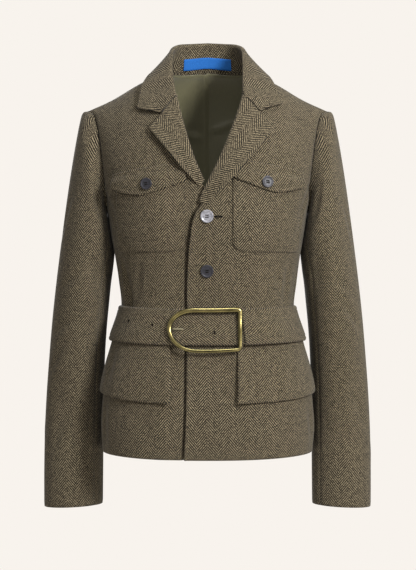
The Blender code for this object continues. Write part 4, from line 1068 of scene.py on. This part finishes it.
SLEEVE_CREASES = {
    1: table(
        "across along lean half_length half_width depth",
        (0.060, 0.345, 62, 0.050, 0.009, 0.0022),
        (0.050, 0.300, 48, 0.055, 0.010, 0.0026),
        (0.075, 0.255, 70, 0.040, 0.009, 0.0020),
        (0.030, 0.440, 24, 0.060, 0.011, 0.0020),
        (0.040, 0.150, 34, 0.050, 0.011, 0.0016),
        (-0.060, 0.330, -60, 0.050, 0.010, 0.0022),
        (-0.050, 0.270, -44, 0.050, 0.010, 0.0020),
        (-0.070, 0.430, -30, 0.060, 0.012, 0.0022),
        (-0.020, 0.090, -20, 0.045, 0.012, 0.0014),
    ),
    -1: table(
        "across along lean half_length half_width depth",
        (0.064, 0.360, 56, 0.048, 0.010, 0.0024),
        (0.052, 0.285, 66, 0.050, 0.009, 0.0022),
        (0.040, 0.235, 40, 0.050, 0.010, 0.0022),
        (0.026, 0.455, 30, 0.055, 0.011, 0.0022),
        (0.048, 0.120, 26, 0.055, 0.011, 0.0016),
        (-0.062, 0.350, -52, 0.048, 0.010, 0.0022),
        (-0.048, 0.250, -62, 0.050, 0.010, 0.0022),
        (-0.066, 0.410, -34, 0.060, 0.012, 0.0020),
        (-0.024, 0.130, -26, 0.045, 0.012, 0.0014),
    ),
}
SLEEVE_ROWS, ROWS_TO_CAP = 150, 1.12
CAP_CALM = 0.05
CAP_DIP, CAP_DIP_WIDTH, SLEEVE_SEAM_DIP = 0.0007, 0.0040, 0.0005
CAP_POINT_STEPS = 12
TURNED_IN = table("run sunk", (0.0006, 0.0036), (0.0100, 0.0042))


def oval(values, swing):
    inner_share = (1 + np.cos(swing)) / 2
    x = values["outer_x"] + (values["inner_x"] - values["outer_x"]) * inner_share
    y = values["middle_y"] - values["half_depth"] * np.sin(swing)
    z = values["outer_z"] + (values["inner_z"] - values["outer_z"]) * inner_share
    return np.stack(np.broadcast_arrays(x, y, z), axis=-1)


def sleeve_ring(ring, step):
    """A point of the left sleeve: step 0 is the underarm, then round by the front, the top and the back."""
    values = {name: read(SLEEVE, name, ring) for name in list(SLEEVE)[1:]}
    swing = step * math.pi / ARM_STEPS
    point = oval(values, swing)
    over = np.where(step <= ARM_STEPS, step, 2 * ARM_STEPS - step)
    every = range(ARM_STEPS + 1)
    front_edge = torso(np.interp(over, every, FRONT_TURNS), np.interp(over, every, FRONT_LEVELS))
    back_edge = torso(np.interp(over, every, BACK_TURNS), np.interp(over, every, BACK_LEVELS))
    hole = np.where((step <= ARM_STEPS)[..., None], front_edge, back_edge)
    first = oval({name: SLEEVE[name][0] for name in list(SLEEVE)[1:]}, swing)
    return point + (hole - first) * (1 - smooth(ring / CAP_RINGS))[..., None]


def edge_shift(step, side):
    """How far the creased body has drawn its armhole edge from the plain oval, as seen on the left arm."""
    over = np.where(step <= ARM_STEPS, step, 2 * ARM_STEPS - step)
    shifts = []
    for turns, levels in ((FRONT_TURNS, FRONT_LEVELS), (BACK_TURNS, BACK_LEVELS)):
        turn, level = (np.interp(over, range(ARM_STEPS + 1), line) for line in (turns, levels))
        shifts.append(skin(side * turn, level, -SEAM_DIP)[0] * (side, 1, 1) - torso(turn, level))
    return np.where((step <= ARM_STEPS)[..., None], *shifts)


def sleeve_folds(ring, step):
    depth = 0.0
    angle = step * 180 / ARM_STEPS
    for at, half, middle, half_angle, most in zip(*SLEEVE_FOLDS.values()):
        off = (angle - middle + 180) % 360 - 180
        depth = depth + most * bump((ring - at) / half) * bump(off / half_angle)
    return depth


def level_distance(grid, start):
    """How far each point lies from the column at the start, measured level along the cloth."""
    far = np.zeros(grid.shape[:2])
    for column in range(grid.shape[1]):
        step = 1 if column > start else -1
        passed = range(start, column + step, step)
        height = grid[:, column, 2]
        columns = [grid[:, k] for k in passed]
        line = np.array([[np.interp(height, c[:, 2], c[:, axis]) for axis in (0, 1)] for c in columns])
        far[:, column] = -step * np.linalg.norm(np.diff(line, axis=0), axis=1).sum(axis=0)
    return far


def sleeves():
    around = 2 * ARM_STEPS
    share = np.linspace(0, 1, SLEEVE_ROWS)
    ring = SLEEVE["ring"][-1] * (1 - share) ** ROWS_TO_CAP
    rows, steps = np.meshgrid(ring, np.arange(-1, around + 2), indexing="ij")
    round_again = steps % around
    flat = sleeve_ring(rows, round_again)
    normals = grid_normals(flat)
    far, away = lengths(flat * (1, 1, 0), 1), lengths(flat[::-1], 0)[::-1]
    across = far[:, ARM_STEPS + 1, None] - far
    along = flat[..., 2] - flat[0, :, 2].min()
    round_arm = level_distance(flat, ARM_STEPS + 1)
    up_arm = np.interp(flat[..., 2], flat[:, ARM_STEPS + 1, 2], lengths(flat, 0)[:, ARM_STEPS + 1])
    for side, word in ((1, "left"), (-1, "right")):
        depth = sleeve_folds(rows, round_again) * smooth(rows - 1)
        depth = depth + lines_in(SLEEVE_CREASES[side], across, along) * smooth(away / CAP_CALM)
        from_point = smooth(np.abs(steps - ARM_STEPS) / CAP_POINT_STEPS)
        depth = depth + CAP_DIP * groove(away, 0, CAP_DIP_WIDTH) * from_point
        for at in (FRONT_SEAM_STEP, around - BACK_SEAM_STEP):
            to_seam = np.abs(far - far[:, at + 1, None])
            depth = depth + SLEEVE_SEAM_DIP * groove(to_seam, 0, SEAM_DIP_WIDTH)
        near = (1 - smooth(rows / CAP_RINGS))[..., None]
        face = (flat + edge_shift(round_again, side) * near - normals * depth[..., None])[:, 1:-1]
        weave = np.stack([round_arm, up_arm], axis=-1)[:, 1:-1]
        face = drawn_in(face, "top", SEAM)
        facing_out = normals[:, 1:-1]
        edge, onward = face[-1:], unit(face[-1:] - face[-2:-1])
        for run, sunk in zip(TURNED_IN["run"], TURNED_IN["sunk"]):
            face = np.concatenate([face, edge + onward * run - facing_out[-1:] * sunk])
            weave = np.concatenate([weave, weave[-1:] + (0, run)])
            facing_out = np.concatenate([facing_out, facing_out[-1:]])
        back_seam = around - BACK_SEAM_STEP
        top = np.arange(FRONT_SEAM_STEP, back_seam + 1)
        under = np.array([*range(back_seam, around), *range(FRONT_SEAM_STEP + 1)])
        for name, columns in ((f"sleeve_top_{word}", top), (f"sleeve_under_{word}", under)):
            mine, facing = (grid[:, columns] * (side, 1, 1) for grid in (face, facing_out))
            lie = weave[:, columns]
            if name.startswith("sleeve_under"):
                lie[..., 0] = lengths(mine, 1) - lengths(mine, 1)[:, BACK_SEAM_STEP, None]
            if side < 0:
                mine, facing, lie = mine[:, ::-1], facing[:, ::-1], lie[:, ::-1]
            mine = drawn_in(mine, "left right", SEAM / 2)
            cloth(name, mine, facing, WALL, lie)


sleeves()

# %% [markdown]
# Breast pockets are patches sewn on flat, with rounded lower corners, under a pointed flap that buttons
# down. The lower pockets are inside, and only their wide flaps show; these hang free at the bottom and
# flare a little. Each patch is a grid laid on the creased front, so a crease of the front goes on through
# the pocket. Flaps have a pressed edge, stitched a few millimetres in, that stands off the cloth below
# and throws a soft shadow.

# %% Breast pockets and flaps
TRIM_WALL = 0.0016
POCKET_TOP, POCKET_BOTTOM, POCKET_CORNER, POCKET_LIFT = -0.174, -0.2805, 0.013, 0.0010
POCKETS = table(
    "side inner outer flap_inner flap_outer flap_top",
    (-1, -0.0350, -0.1365, -0.0325, -0.1400, -0.1545),
    (1, 0.0375, 0.1385, 0.0370, 0.1420, -0.1500),
)
POCKET_COLUMNS, POCKET_GRID_ROWS = 67, 71
FLAP_SIDE, FLAP_POINT, FLAP_CURVE = 0.0245, 0.0165, 1.4
FLAP_COLUMNS, FLAP_ROWS = 73, 37
FLAP_RISE_FROM, FLAP_RISE, FLAP_CLEAR = -0.157, 0.013, 0.0006
FLAP_STAND, FLAP_OUTER_STAND = 0.0014, 0.0030
PRESSED, POCKET_PRESSED, PRESSED_WIDTH = 0.0005, 0.0009, 0.0030


def pocket_size(side, name):
    return float(POCKETS[name][1 if side > 0 else 0])


def patch(name, side, inner, outer, bottom, top, lift, columns, rows, pressed, stand_off):
    """A patch of cloth on a front, between two lines; bottom and top are functions of the share across."""
    u, v = np.meshgrid(np.linspace(0, 1, columns), np.linspace(0, 1, rows))
    z = bottom(u) + (top(u) - bottom(u)) * v
    level = level_at((inner + outer) / 2, z)
    start = turn_at(inner, level)
    turn = start + (turn_at(outer, level) - start) * u
    flat, _ = skin(turn, level, 0.0, side)
    far = from_edges(flat, "left right bottom")
    sewn = STITCH_DIP * groove(far, STITCH_IN, STITCH_HALF) + pressed * groove(far, 0, PRESSED_WIDTH)
    bottom_off, outer_off = stand_off
    off = bottom_off * smooth(1 - v) + outer_off * smooth(2 * u - 1)
    face, normals = skin(turn, level, lift(z) + off - sewn, side)
    weave = threads(turn, level)
    if side < 0:
        face, normals, weave = face[:, ::-1], normals[:, ::-1], weave[:, ::-1]
    return cloth(name, face, normals, TRIM_WALL, weave)


def breast_pocket(side, word):
    inner, outer = pocket_size(side, "inner"), pocket_size(side, "outer")

    def top(u):
        return np.full_like(u, POCKET_TOP)

    def bottom(u):
        off = np.minimum(u, 1 - u) * abs(outer - inner)
        into = np.clip(1 - off / POCKET_CORNER, 0, 1)
        return POCKET_BOTTOM + POCKET_CORNER * (1 - np.sqrt(1 - into**2))

    def lift(z):
        return np.full_like(z, POCKET_LIFT + TRIM_WALL)

    patch(f"breast_pocket_{word}", side, inner, outer, bottom, top, lift, POCKET_COLUMNS, POCKET_GRID_ROWS,
          POCKET_PRESSED, (0.0, 0.0))


def flap_lift(z):
    """The flap starts on the front panel and passes over the top of the pocket."""
    over = smooth((FLAP_RISE_FROM - z) / FLAP_RISE)
    return SEAM + TRIM_WALL + (POCKET_LIFT + TRIM_WALL + FLAP_CLEAR) * over


def breast_flap(side, word):
    inner, outer = pocket_size(side, "flap_inner"), pocket_size(side, "flap_outer")

    def top(u):
        return np.full_like(u, pocket_size(side, "flap_top"))

    def bottom(u):
        return top(u) - FLAP_SIDE - FLAP_POINT * (1 - np.abs(2 * u - 1) ** FLAP_CURVE)

    patch(f"breast_flap_{word}", side, inner, outer, bottom, top, flap_lift, FLAP_COLUMNS, FLAP_ROWS,
          PRESSED, (FLAP_STAND, FLAP_OUTER_STAND))


for hand, hand_name in ((1, "left"), (-1, "right")):
    breast_pocket(hand, hand_name)
    breast_flap(hand, hand_name)

# %% Lower flaps
LOWER_FLAPS = {1: 0.0450, -1: -0.0555}
LOWER_FLAP_TOP, LOWER_FLAP_INNER, LOWER_FLAP_OUTER = -0.4085, -0.5045, -0.4930
LOWER_FLAP_END = math.radians(84)
LOWER_FLAP_FLARE, LOWER_FLAP_INNER_FLARE, LOWER_FLAP_CURVE = 0.0048, 0.55, 1.6
LOWER_FLAP_COLUMNS, LOWER_FLAP_ROWS = 89, 65
LOWER_STITCH_IN = 0.0085
LOWER_FLAP_CURL, LOWER_FLAP_CURL_SHARE, LOWER_FLAP_CURL_FADE = 0.0055, 0.14, 0.6


def lower_flap(side, word):
    u, v = np.meshgrid(np.linspace(0, 1, LOWER_FLAP_COLUMNS), np.linspace(0, 1, LOWER_FLAP_ROWS))
    low = LOWER_FLAP_INNER + (LOWER_FLAP_OUTER - LOWER_FLAP_INNER) * u**LOWER_FLAP_CURVE
    z = low + (LOWER_FLAP_TOP - low) * v
    level = (z - UNDERARM) / (UNDERARM - HEM)
    start = turn_at(LOWER_FLAPS[side], level)
    turn = start + (side * LOWER_FLAP_END - start) * u
    outward = LOWER_FLAP_INNER_FLARE + (1 - LOWER_FLAP_INNER_FLARE) * u
    lift = SEAM + TRIM_WALL + LOWER_FLAP_FLARE * smooth(1 - v) * outward
    lift = lift + LOWER_FLAP_CURL * smooth(1 - u / LOWER_FLAP_CURL_SHARE) * (1 - v) ** LOWER_FLAP_CURL_FADE
    flat, _ = skin(turn, level, lift, side)
    far = from_edges(flat, "left right bottom")
    sewn = STITCH_DIP * groove(far, LOWER_STITCH_IN, STITCH_HALF) + PRESSED * groove(far, 0, PRESSED_WIDTH)
    face, normals = skin(turn, level, lift - sewn, side)
    weave = threads(turn, level)
    if side < 0:
        face, normals, weave = face[:, ::-1], normals[:, ::-1], weave[:, ::-1]
    cloth(f"lower_flap_{word}", face, normals, TRIM_WALL, weave)


lower_flap(1, "left")
lower_flap(-1, "right")

# %% [markdown]
# The belt is a strip of the same tweed, doubled and stitched near both edges, with its threads lying
# along the waist, so its chevrons lie on their side. It goes once round, from the buckle's bar round the
# back, through the buckle and under its own start. The holes are pierced with a round punch, which is a
# Boolean cut with a small cylinder.

# %% Belt
BELT_WALL = 0.0036
BELT_TOP, BELT_WIDTH, BELT_DIP = -0.3625, 0.0530, 0.0045
BELT_LIFT_TOP, BELT_LIFT_BOTTOM = 0.0012, 0.0040
BELT_START_X, BELT_TUCK, BELT_EASE = 0.0523, 0.025, 0.060
BELT_COLUMNS, BELT_ROWS = 330, 29
BELT_HOLE = 0.0019
BELT_HOLES = table(
    "x height",
    (-0.1150, -0.3854),
    (-0.0802, -0.3909),
    (0.0104, -0.4017),
)


def belt_point(turn, share, lift):
    """A point on the belt's outside: share 0 is its lower edge, 1 its upper."""
    z = BELT_TOP - BELT_DIP * np.maximum(np.cos(turn), 0) ** 2 - BELT_WIDTH * (1 - share)
    level = (z - UNDERARM) / (UNDERARM - HEM)
    out = BELT_LIFT_BOTTOM + (BELT_LIFT_TOP - BELT_LIFT_BOTTOM) * share + BELT_WALL + lift
    normal = torso_normal(turn, level)
    return torso(turn, level) + normal * np.asarray(out)[..., None], normal


def on_belt(x, z, lift):
    """A point on the belt by its place as seen from the front, and the normal there."""
    x, z, lift = (np.asarray(value, float) for value in (x, z, lift))
    level = (z - UNDERARM) / (UNDERARM - HEM)
    turn = turn_at(x, level)
    share = (z - BELT_TOP + BELT_DIP * np.cos(turn) ** 2 + BELT_WIDTH) / BELT_WIDTH
    return belt_point(turn, share, lift)


def only(piece):
    """Selects one object and makes it the active one, as a click does."""
    bpy.ops.object.select_all(action="DESELECT")
    piece.select_set(True)
    bpy.context.view_layer.objects.active = piece


def frame_at(point, normal):
    """A place on the cloth: local X to the right, local Y up and local Z out."""
    right = unit(np.cross((0, 0, 1), normal))
    up = np.cross(normal, right)
    turned = Matrix(np.stack([right, up, normal], axis=1).tolist()).to_4x4()
    return Matrix.Translation(Vector(point)) @ turned


def settle(piece, place):
    """Moves a piece to its place and applies the move, so that its mesh holds the place."""
    only(piece)
    piece.matrix_world = place @ piece.matrix_world
    bpy.ops.object.transform_apply(location=True, rotation=True, scale=True)


def punch(piece, place, radius, depth):
    """Cuts a round hole through a piece at a place on the cloth."""
    bpy.ops.object.select_all(action="DESELECT")
    bpy.ops.mesh.primitive_cylinder_add(vertices=20, radius=radius, depth=depth)
    cutter = bpy.context.object
    settle(cutter, place)
    only(piece)
    cut = piece.modifiers.new("hole", "BOOLEAN")
    cut.object, cut.operation, cut.solver = cutter, "DIFFERENCE", "EXACT"
    bpy.ops.object.modifier_apply(modifier=cut.name)
    bpy.data.objects.remove(cutter)


def belt():
    middle = (BELT_TOP - BELT_WIDTH / 2 - UNDERARM) / (UNDERARM - HEM)
    start = float(turn_at(BELT_START_X, middle))
    end = 2 * math.pi + float(turn_at(BELT_START_X + BELT_TUCK, middle))
    turns = spread(start, end, lambda fine: np.full_like(fine, middle), BELT_COLUMNS)
    turn, share = np.meshgrid(turns, np.linspace(0, 1, BELT_ROWS))
    raised = 1 - smooth((half_width(middle) * np.sin(turn) - BELT_START_X - BELT_TUCK) / BELT_EASE)
    lift = (BELT_WALL + 2 * SEAM) * raised * (turn < SIDE_TURN)
    flat, _ = belt_point(turn, share, lift)
    far = from_edges(flat, "top bottom left")
    sewn = STITCH_DIP * groove(far, STITCH_IN, STITCH_HALF) + PRESSED * groove(far, 0, PRESSED_WIDTH)
    face, normals = belt_point(turn, share, lift - sewn)
    round_waist = lengths(face, 1).mean(axis=0) + 0 * share
    weave = np.stack([lengths(face, 0), round_waist], axis=-1)
    strip = cloth("belt", face, normals, BELT_WALL, weave)
    for x, z in zip(BELT_HOLES["x"], BELT_HOLES["height"]):
        punch(strip, frame_at(*on_belt(x, z, 0)), BELT_HOLE, 3 * BELT_WALL)
    return strip


BELT = belt()
print("belt:", len(BELT.data.polygons), "faces with three holes")

# %% [markdown]
# The buckle is a cast brass frame with one round end, bent to lie on the belt, and a short prong fixed on
# that end. A jeweller would bend a round rod to a drawn line, and so does this: a closed curve with a
# round bevel, turned into a mesh. Lathe and extrude tools suit straight work better than a frame that
# follows the waist.

# %% Buckle and prong
ROD = 0.0034
BUCKLE_BAR_X, BUCKLE_ROUND_X, BUCKLE_ROUND_RUN = 0.0473, -0.0548, 0.037
BUCKLE_Z, BUCKLE_HALF, BUCKLE_BOW, BUCKLE_CORNER = -0.3972, 0.0300, 0.0022, 0.0045
BUCKLE_LIFT, BUCKLE_TOP_DIP = 0.0012, 0.0012
BUCKLE_UPRIGHT_TAPER, BUCKLE_ROUND_THICK = 0.18, 0.03
PRONG, PRONG_END_X = 0.0015, -0.0352
PRONG_TAPER = (1, 1, 0.97, 0.95, 0.92, 0.88, 0.8, 0.66, 0.4)


def buckle_path():
    """The frame's centre line, from the bar round by the top and the round end, and its thickness."""
    right, corner, half = BUCKLE_BAR_X, BUCKLE_CORNER, BUCKLE_HALF
    arc = BUCKLE_ROUND_X + BUCKLE_ROUND_RUN
    bend = np.linspace(0, math.pi / 2, 7)
    points = [(right, z) for z in np.linspace(-half + corner, half - corner, 12)[1:-1]]
    points += [(right - corner * (1 - math.cos(a)), half - corner * (1 - math.sin(a))) for a in bend]
    points += [(x, half) for x in np.linspace(right - corner, arc, 14)[1:-1]]
    swing = np.linspace(0, math.pi, 41)
    points += [(arc - BUCKLE_ROUND_RUN * math.sin(a), half * math.cos(a)) for a in swing]
    points += [(x, -half) for x in np.linspace(arc, right - corner, 14)[1:-1]]
    points += [(right - corner * (1 - math.sin(a)), -half + corner * (1 - math.cos(a))) for a in bend]
    x, z = np.array(points).T
    arch = np.sin(np.clip((x - BUCKLE_ROUND_X) / (right - BUCKLE_ROUND_X), 0, 1) * math.pi)
    thick = 1 + BUCKLE_UPRIGHT_TAPER * z / half + BUCKLE_ROUND_THICK * smooth((arc - x) / BUCKLE_ROUND_RUN)
    return x, BUCKLE_Z + z - arch * np.where(z < 0, BUCKLE_BOW, BUCKLE_TOP_DIP), thick


def bent_rod(name, line, radius, taper, closed, metal):
    """A round rod bent along a line, as a mesh."""
    curve = bpy.data.curves.new(name, "CURVE")
    curve.dimensions, curve.bevel_depth, curve.bevel_resolution = "3D", radius, 5
    curve.use_fill_caps = not closed
    spline = curve.splines.new("POLY")
    spline.points.add(len(line) - 1)
    for point, at, share in zip(spline.points, line, taper):
        point.co = (*at, 1.0)
        point.radius = share
    spline.use_cyclic_u = closed
    rod = bpy.data.objects.new(name, curve)
    bpy.context.scene.collection.objects.link(rod)
    only(rod)
    bpy.ops.object.convert(target="MESH")
    rod = bpy.context.object
    bpy.ops.object.shade_smooth_by_angle(angle=math.radians(50))
    rod.data.materials.clear()
    rod.data.materials.append(metal)
    return rod


def buckle():
    x, z, thick = buckle_path()
    line, _ = on_belt(x, z, ROD * thick + BUCKLE_LIFT)
    rod = bent_rod("buckle_rod", line, ROD, thick, True, BRASS)
    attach(rod, "root")
    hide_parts("buckle_frame")
    x = np.linspace(BUCKLE_ROUND_X + ROD + SEAM, PRONG_END_X, len(PRONG_TAPER))
    line, _ = on_belt(x, np.full_like(x, BUCKLE_Z), np.full_like(x, PRONG + SEAM))
    pin = bent_rod("prong_pin", line, PRONG, PRONG_TAPER, False, STEEL)
    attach(pin, "root")
    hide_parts("buckle_prong")
    print("buckle:", len(rod.data.polygons), "faces; prong:", len(pin.data.polygons))


buckle()

# %% [markdown]
# The four buttons are turned from horn: a thick disc, a dished face inside a raised rim and four sewing
# holes, crossed by thread. A lathe would turn them from a profile. A cylinder, an inset, a move and a
# bevel do the same in Blender, and a small cylinder drills each hole.

# %% Buttons
BUTTON_DEPTH, BUTTON_DISH = 0.0030, 0.0007
RIM_SHARE, SLOPE_SHARE, FLOOR_SHARE, RIM_ROUND = 0.20, 0.10, 0.12, 0.0006
HOLE, HOLE_AT = 0.0011, 0.0021
STITCH_THREAD = 0.00042
ON_FLAP = SEAM + TRIM_WALL + POCKET_LIFT + TRIM_WALL + FLAP_CLEAR + FLAP_STAND
BUTTONS = (
    # The upper button takes the paler horn, partly a painted highlight.
    ("button_front_upper", 1, -0.0007, -0.2279, SEAM, 0.0098, PALE_HORN_AND_HIGHLIGHT, "pale_horn"),
    ("button_front_lower", 1, -0.0007, -0.3093, SEAM, 0.0098, DARK_HORN, "dark_horn"),
    ("button_flap_left", 1, 0.0870, -0.1768, ON_FLAP, 0.0088, DARK_HORN, "dark_horn"),
    ("button_flap_right", -1, -0.0886, -0.1798, ON_FLAP, 0.0088, DARK_HORN, "dark_horn"),
)


def turned_disc(radius):
    """A button blank lying on the ground, face up: a disc with a dished face and a rounded rim."""
    bpy.ops.object.select_all(action="DESELECT")
    bpy.ops.mesh.primitive_cylinder_add(
        vertices=48, radius=radius, depth=BUTTON_DEPTH, location=(0, 0, BUTTON_DEPTH / 2))
    disc = bpy.context.object
    bpy.ops.object.mode_set(mode="EDIT")
    shape = bmesh.from_edit_mesh(disc.data)
    for side in shape.faces:
        side.select_set(side.normal.z > 0.9)
    bmesh.update_edit_mesh(disc.data)
    bpy.ops.mesh.inset(thickness=radius * RIM_SHARE)
    bpy.ops.mesh.inset(thickness=radius * SLOPE_SHARE)
    bpy.ops.transform.translate(value=(0, 0, -BUTTON_DISH))
    bpy.ops.mesh.inset(thickness=radius * FLOOR_SHARE)
    bpy.ops.object.mode_set(mode="OBJECT")
    only(disc)
    edge = disc.modifiers.new("rim", "BEVEL")
    edge.width, edge.segments = RIM_ROUND, 3
    edge.limit_method, edge.angle_limit = "ANGLE", math.radians(20)
    bpy.ops.object.modifier_apply(modifier=edge.name)
    return disc


def sewn_thread(name, place):
    """Two short bars of thread across the four holes."""
    bars = []
    for y in (-1, 1):
        bpy.ops.object.select_all(action="DESELECT")
        bpy.ops.mesh.primitive_cylinder_add(
            vertices=10, radius=STITCH_THREAD, depth=2 * HOLE_AT, rotation=(0, math.pi / 2, 0),
            location=(0, y * HOLE_AT * math.sqrt(0.5), BUTTON_DEPTH - BUTTON_DISH + STITCH_THREAD * 0.8))
        bars.append(bpy.context.object)
    for bar in bars:
        bar.select_set(True)
    bpy.ops.object.join()
    thread = bpy.context.object
    bpy.ops.object.transform_apply(location=True, rotation=True, scale=True)
    bpy.ops.object.shade_smooth_by_angle(angle=math.radians(50))
    thread.name = name
    thread.data.materials.append(THREAD_AND_SLIT_SHADE)
    settle(thread, place)
    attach(thread, "root")


def button(name, side, x, z, lift, radius, horn, slot):
    disc = turned_disc(radius)
    bpy.ops.object.transform_apply(location=True, rotation=True, scale=True)
    for k in range(4):
        angle = math.pi / 4 + k * math.pi / 2
        at = Matrix.Translation((HOLE_AT * math.cos(angle), HOLE_AT * math.sin(angle), BUTTON_DEPTH / 2))
        punch(disc, at, HOLE, 2 * BUTTON_DEPTH)
    only(disc)
    bpy.ops.object.shade_smooth_by_angle(angle=math.radians(30))
    disc.name = f"{name}_horn"
    disc.data.materials.clear()
    disc.data.materials.append(horn)
    place = frame_at(*laid(side, x, z, lift))
    settle(disc, place)
    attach(disc, "root")
    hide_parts(name)
    sewn_thread(name.replace("button", "thread"), place)
    print(f"{name}: {radius * 2000:.1f} mm across, {len(disc.data.polygons)} faces")


for row in BUTTONS:
    button(*row)

# %% [markdown]
# The buttonhole beside the upper button is a slit worked round with close stitches. It shows as a thin
# dark line with a raised edge: a torus pressed to a long oval for the stitches, over a flattened ball in the
# thread's near-black colour, which is painted shade for the open slit. The belt's pierced holes are worked
# in the same way, as small upright ovals with painted shade in the middle.

# %% Buttonhole and belt eyelets
BUTTONHOLE_X, BUTTONHOLE_Z = 0.0165, -0.2285
BUTTONHOLE_HALF, BUTTONHOLE_NARROW, BUTTONHOLE_STITCH = 0.0056, 0.26, 0.0010
EYELET_HALF, EYELET_NARROW, EYELET_STITCH, EYELET_LIFT = 0.0022, 0.66, 0.0004, 0.0001
SLIT_ACROSS, SLIT_UP, SLIT_FLAT = 0.6, 0.34, 0.08


def worked_slit(name, place, half_sizes, stitch):
    """A long oval of close stitches round a flattened dark ball, painted shade for the slit, at a place on
    the cloth.
    """
    half = max(half_sizes)
    shape = (half_sizes[0] / half, half_sizes[1] / half)
    bpy.ops.object.select_all(action="DESELECT")
    bpy.ops.mesh.primitive_torus_add(
        major_segments=48, minor_segments=10, major_radius=half, minor_radius=stitch)
    edge = bpy.context.object
    edge.scale = (*shape, 1)
    bpy.ops.object.transform_apply(location=True, rotation=True, scale=True)
    # Painted shade: a flattened ball in the thread's near-black colour stands for the shade inside the slit.
    bpy.ops.mesh.primitive_uv_sphere_add(segments=32, ring_count=12, radius=half)
    slit_shade = bpy.context.object
    wide, high = shape
    slit_shade.scale = (wide * min(1, wide + SLIT_ACROSS), high * min(1, high + SLIT_UP), SLIT_FLAT)
    bpy.ops.object.transform_apply(location=True, rotation=True, scale=True)
    edge.select_set(True)
    bpy.context.view_layer.objects.active = edge
    bpy.ops.object.join()
    bpy.ops.object.shade_smooth()
    edge.name = name
    edge.data.materials.append(THREAD_AND_SLIT_SHADE)
    settle(edge, place)
    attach(edge, "root")
    print(name, round(half * 2000, 1), "mm long")


worked_slit("buttonhole_stitches_and_slit_shade", frame_at(*laid(1, BUTTONHOLE_X, BUTTONHOLE_Z, 0.0)),
            (BUTTONHOLE_HALF, BUTTONHOLE_HALF * BUTTONHOLE_NARROW), BUTTONHOLE_STITCH)
for count, (x, z) in enumerate(zip(BELT_HOLES["x"], BELT_HOLES["height"]), 1):
    worked_slit(f"belt_eyelet_{count}", frame_at(*on_belt(x, z, EYELET_LIFT)),
                (EYELET_HALF * EYELET_NARROW, EYELET_HALF), EYELET_STITCH)

# %% [markdown]
# The studio: a plain pale floor at standing height, a pale sweep all round as the only background, one
# large soft light from the front right, a weaker one from the other side, one overhead and one behind.
# Large lights give the tweed its soft shading and keep the shadows under flaps and lapels gentle. The
# camera looks level at the blazer's middle from 2.6 m.

# %% Floor, light and camera
FLOOR_Z, FLOOR_RADIUS = -1.40, 2.4
PALE = "F8F3ED"
VIEW_DISTANCE, VIEW_HEIGHT, VIEW_X, VIEW_Z = 2.6, 0.8835, 0.0008, -0.330


def floor():
    bpy.ops.object.select_all(action="DESELECT")
    bpy.ops.mesh.primitive_circle_add(
        vertices=96, radius=FLOOR_RADIUS, fill_type="NGON", location=(0, 0, FLOOR_Z))
    ground = bpy.context.object
    bpy.ops.object.transform_apply(location=True, rotation=True, scale=True)
    ground.name = "studio_floor"
    ground.data.materials.append(polished("pale painted floor", "CFCAC3", "D5D0C9", 0.4, 0.6))


def soft_light(name, place, aim, size, power):
    lamp = bpy.data.lights.new(name, "AREA")
    lamp.shape, lamp.size, lamp.energy = "DISK", size, power
    holder = bpy.data.objects.new(name, lamp)
    bpy.context.scene.collection.objects.link(holder)
    holder.location = place
    holder.rotation_euler = (Vector(aim) - Vector(place)).to_track_quat("-Z", "Y").to_euler()


floor()
world = bpy.context.scene.world or bpy.data.worlds.new("studio")
bpy.context.scene.world = world
world.use_nodes = True
sweep = world.node_tree.nodes["Background"]
sweep.inputs["Color"].default_value = linear(PALE)
sweep.inputs["Strength"].default_value = 1.0
soft_light("key light", (1.45, -1.9, 0.70), (0, 0, -0.30), 0.70, 225)
soft_light("fill light", (-0.9, -2.5, 0.2), (0, 0, -0.35), 1.4, 20)
soft_light("overhead light", (0.1, -0.9, 1.7), (0, 0, -0.20), 1.0, 44)
soft_light("back light", (-0.5, 2.6, 0.5), (0, 0, -0.30), 1.4, 90)

lens = bpy.data.cameras.new("camera")
lens.sensor_width = 36
lens.lens = lens.sensor_width * VIEW_DISTANCE / VIEW_HEIGHT
camera = bpy.data.objects.new("camera", lens)
bpy.context.scene.collection.objects.link(camera)
camera.location = (VIEW_X, -VIEW_DISTANCE, VIEW_Z)
camera.rotation_euler = (math.pi / 2, 0, 0)
bpy.context.scene.camera = camera
bpy.context.scene.view_settings.view_transform = "Standard"
bpy.context.scene.view_settings.look = "None"
print("camera:", round(lens.lens, 1), "mm lens, level with the waist")
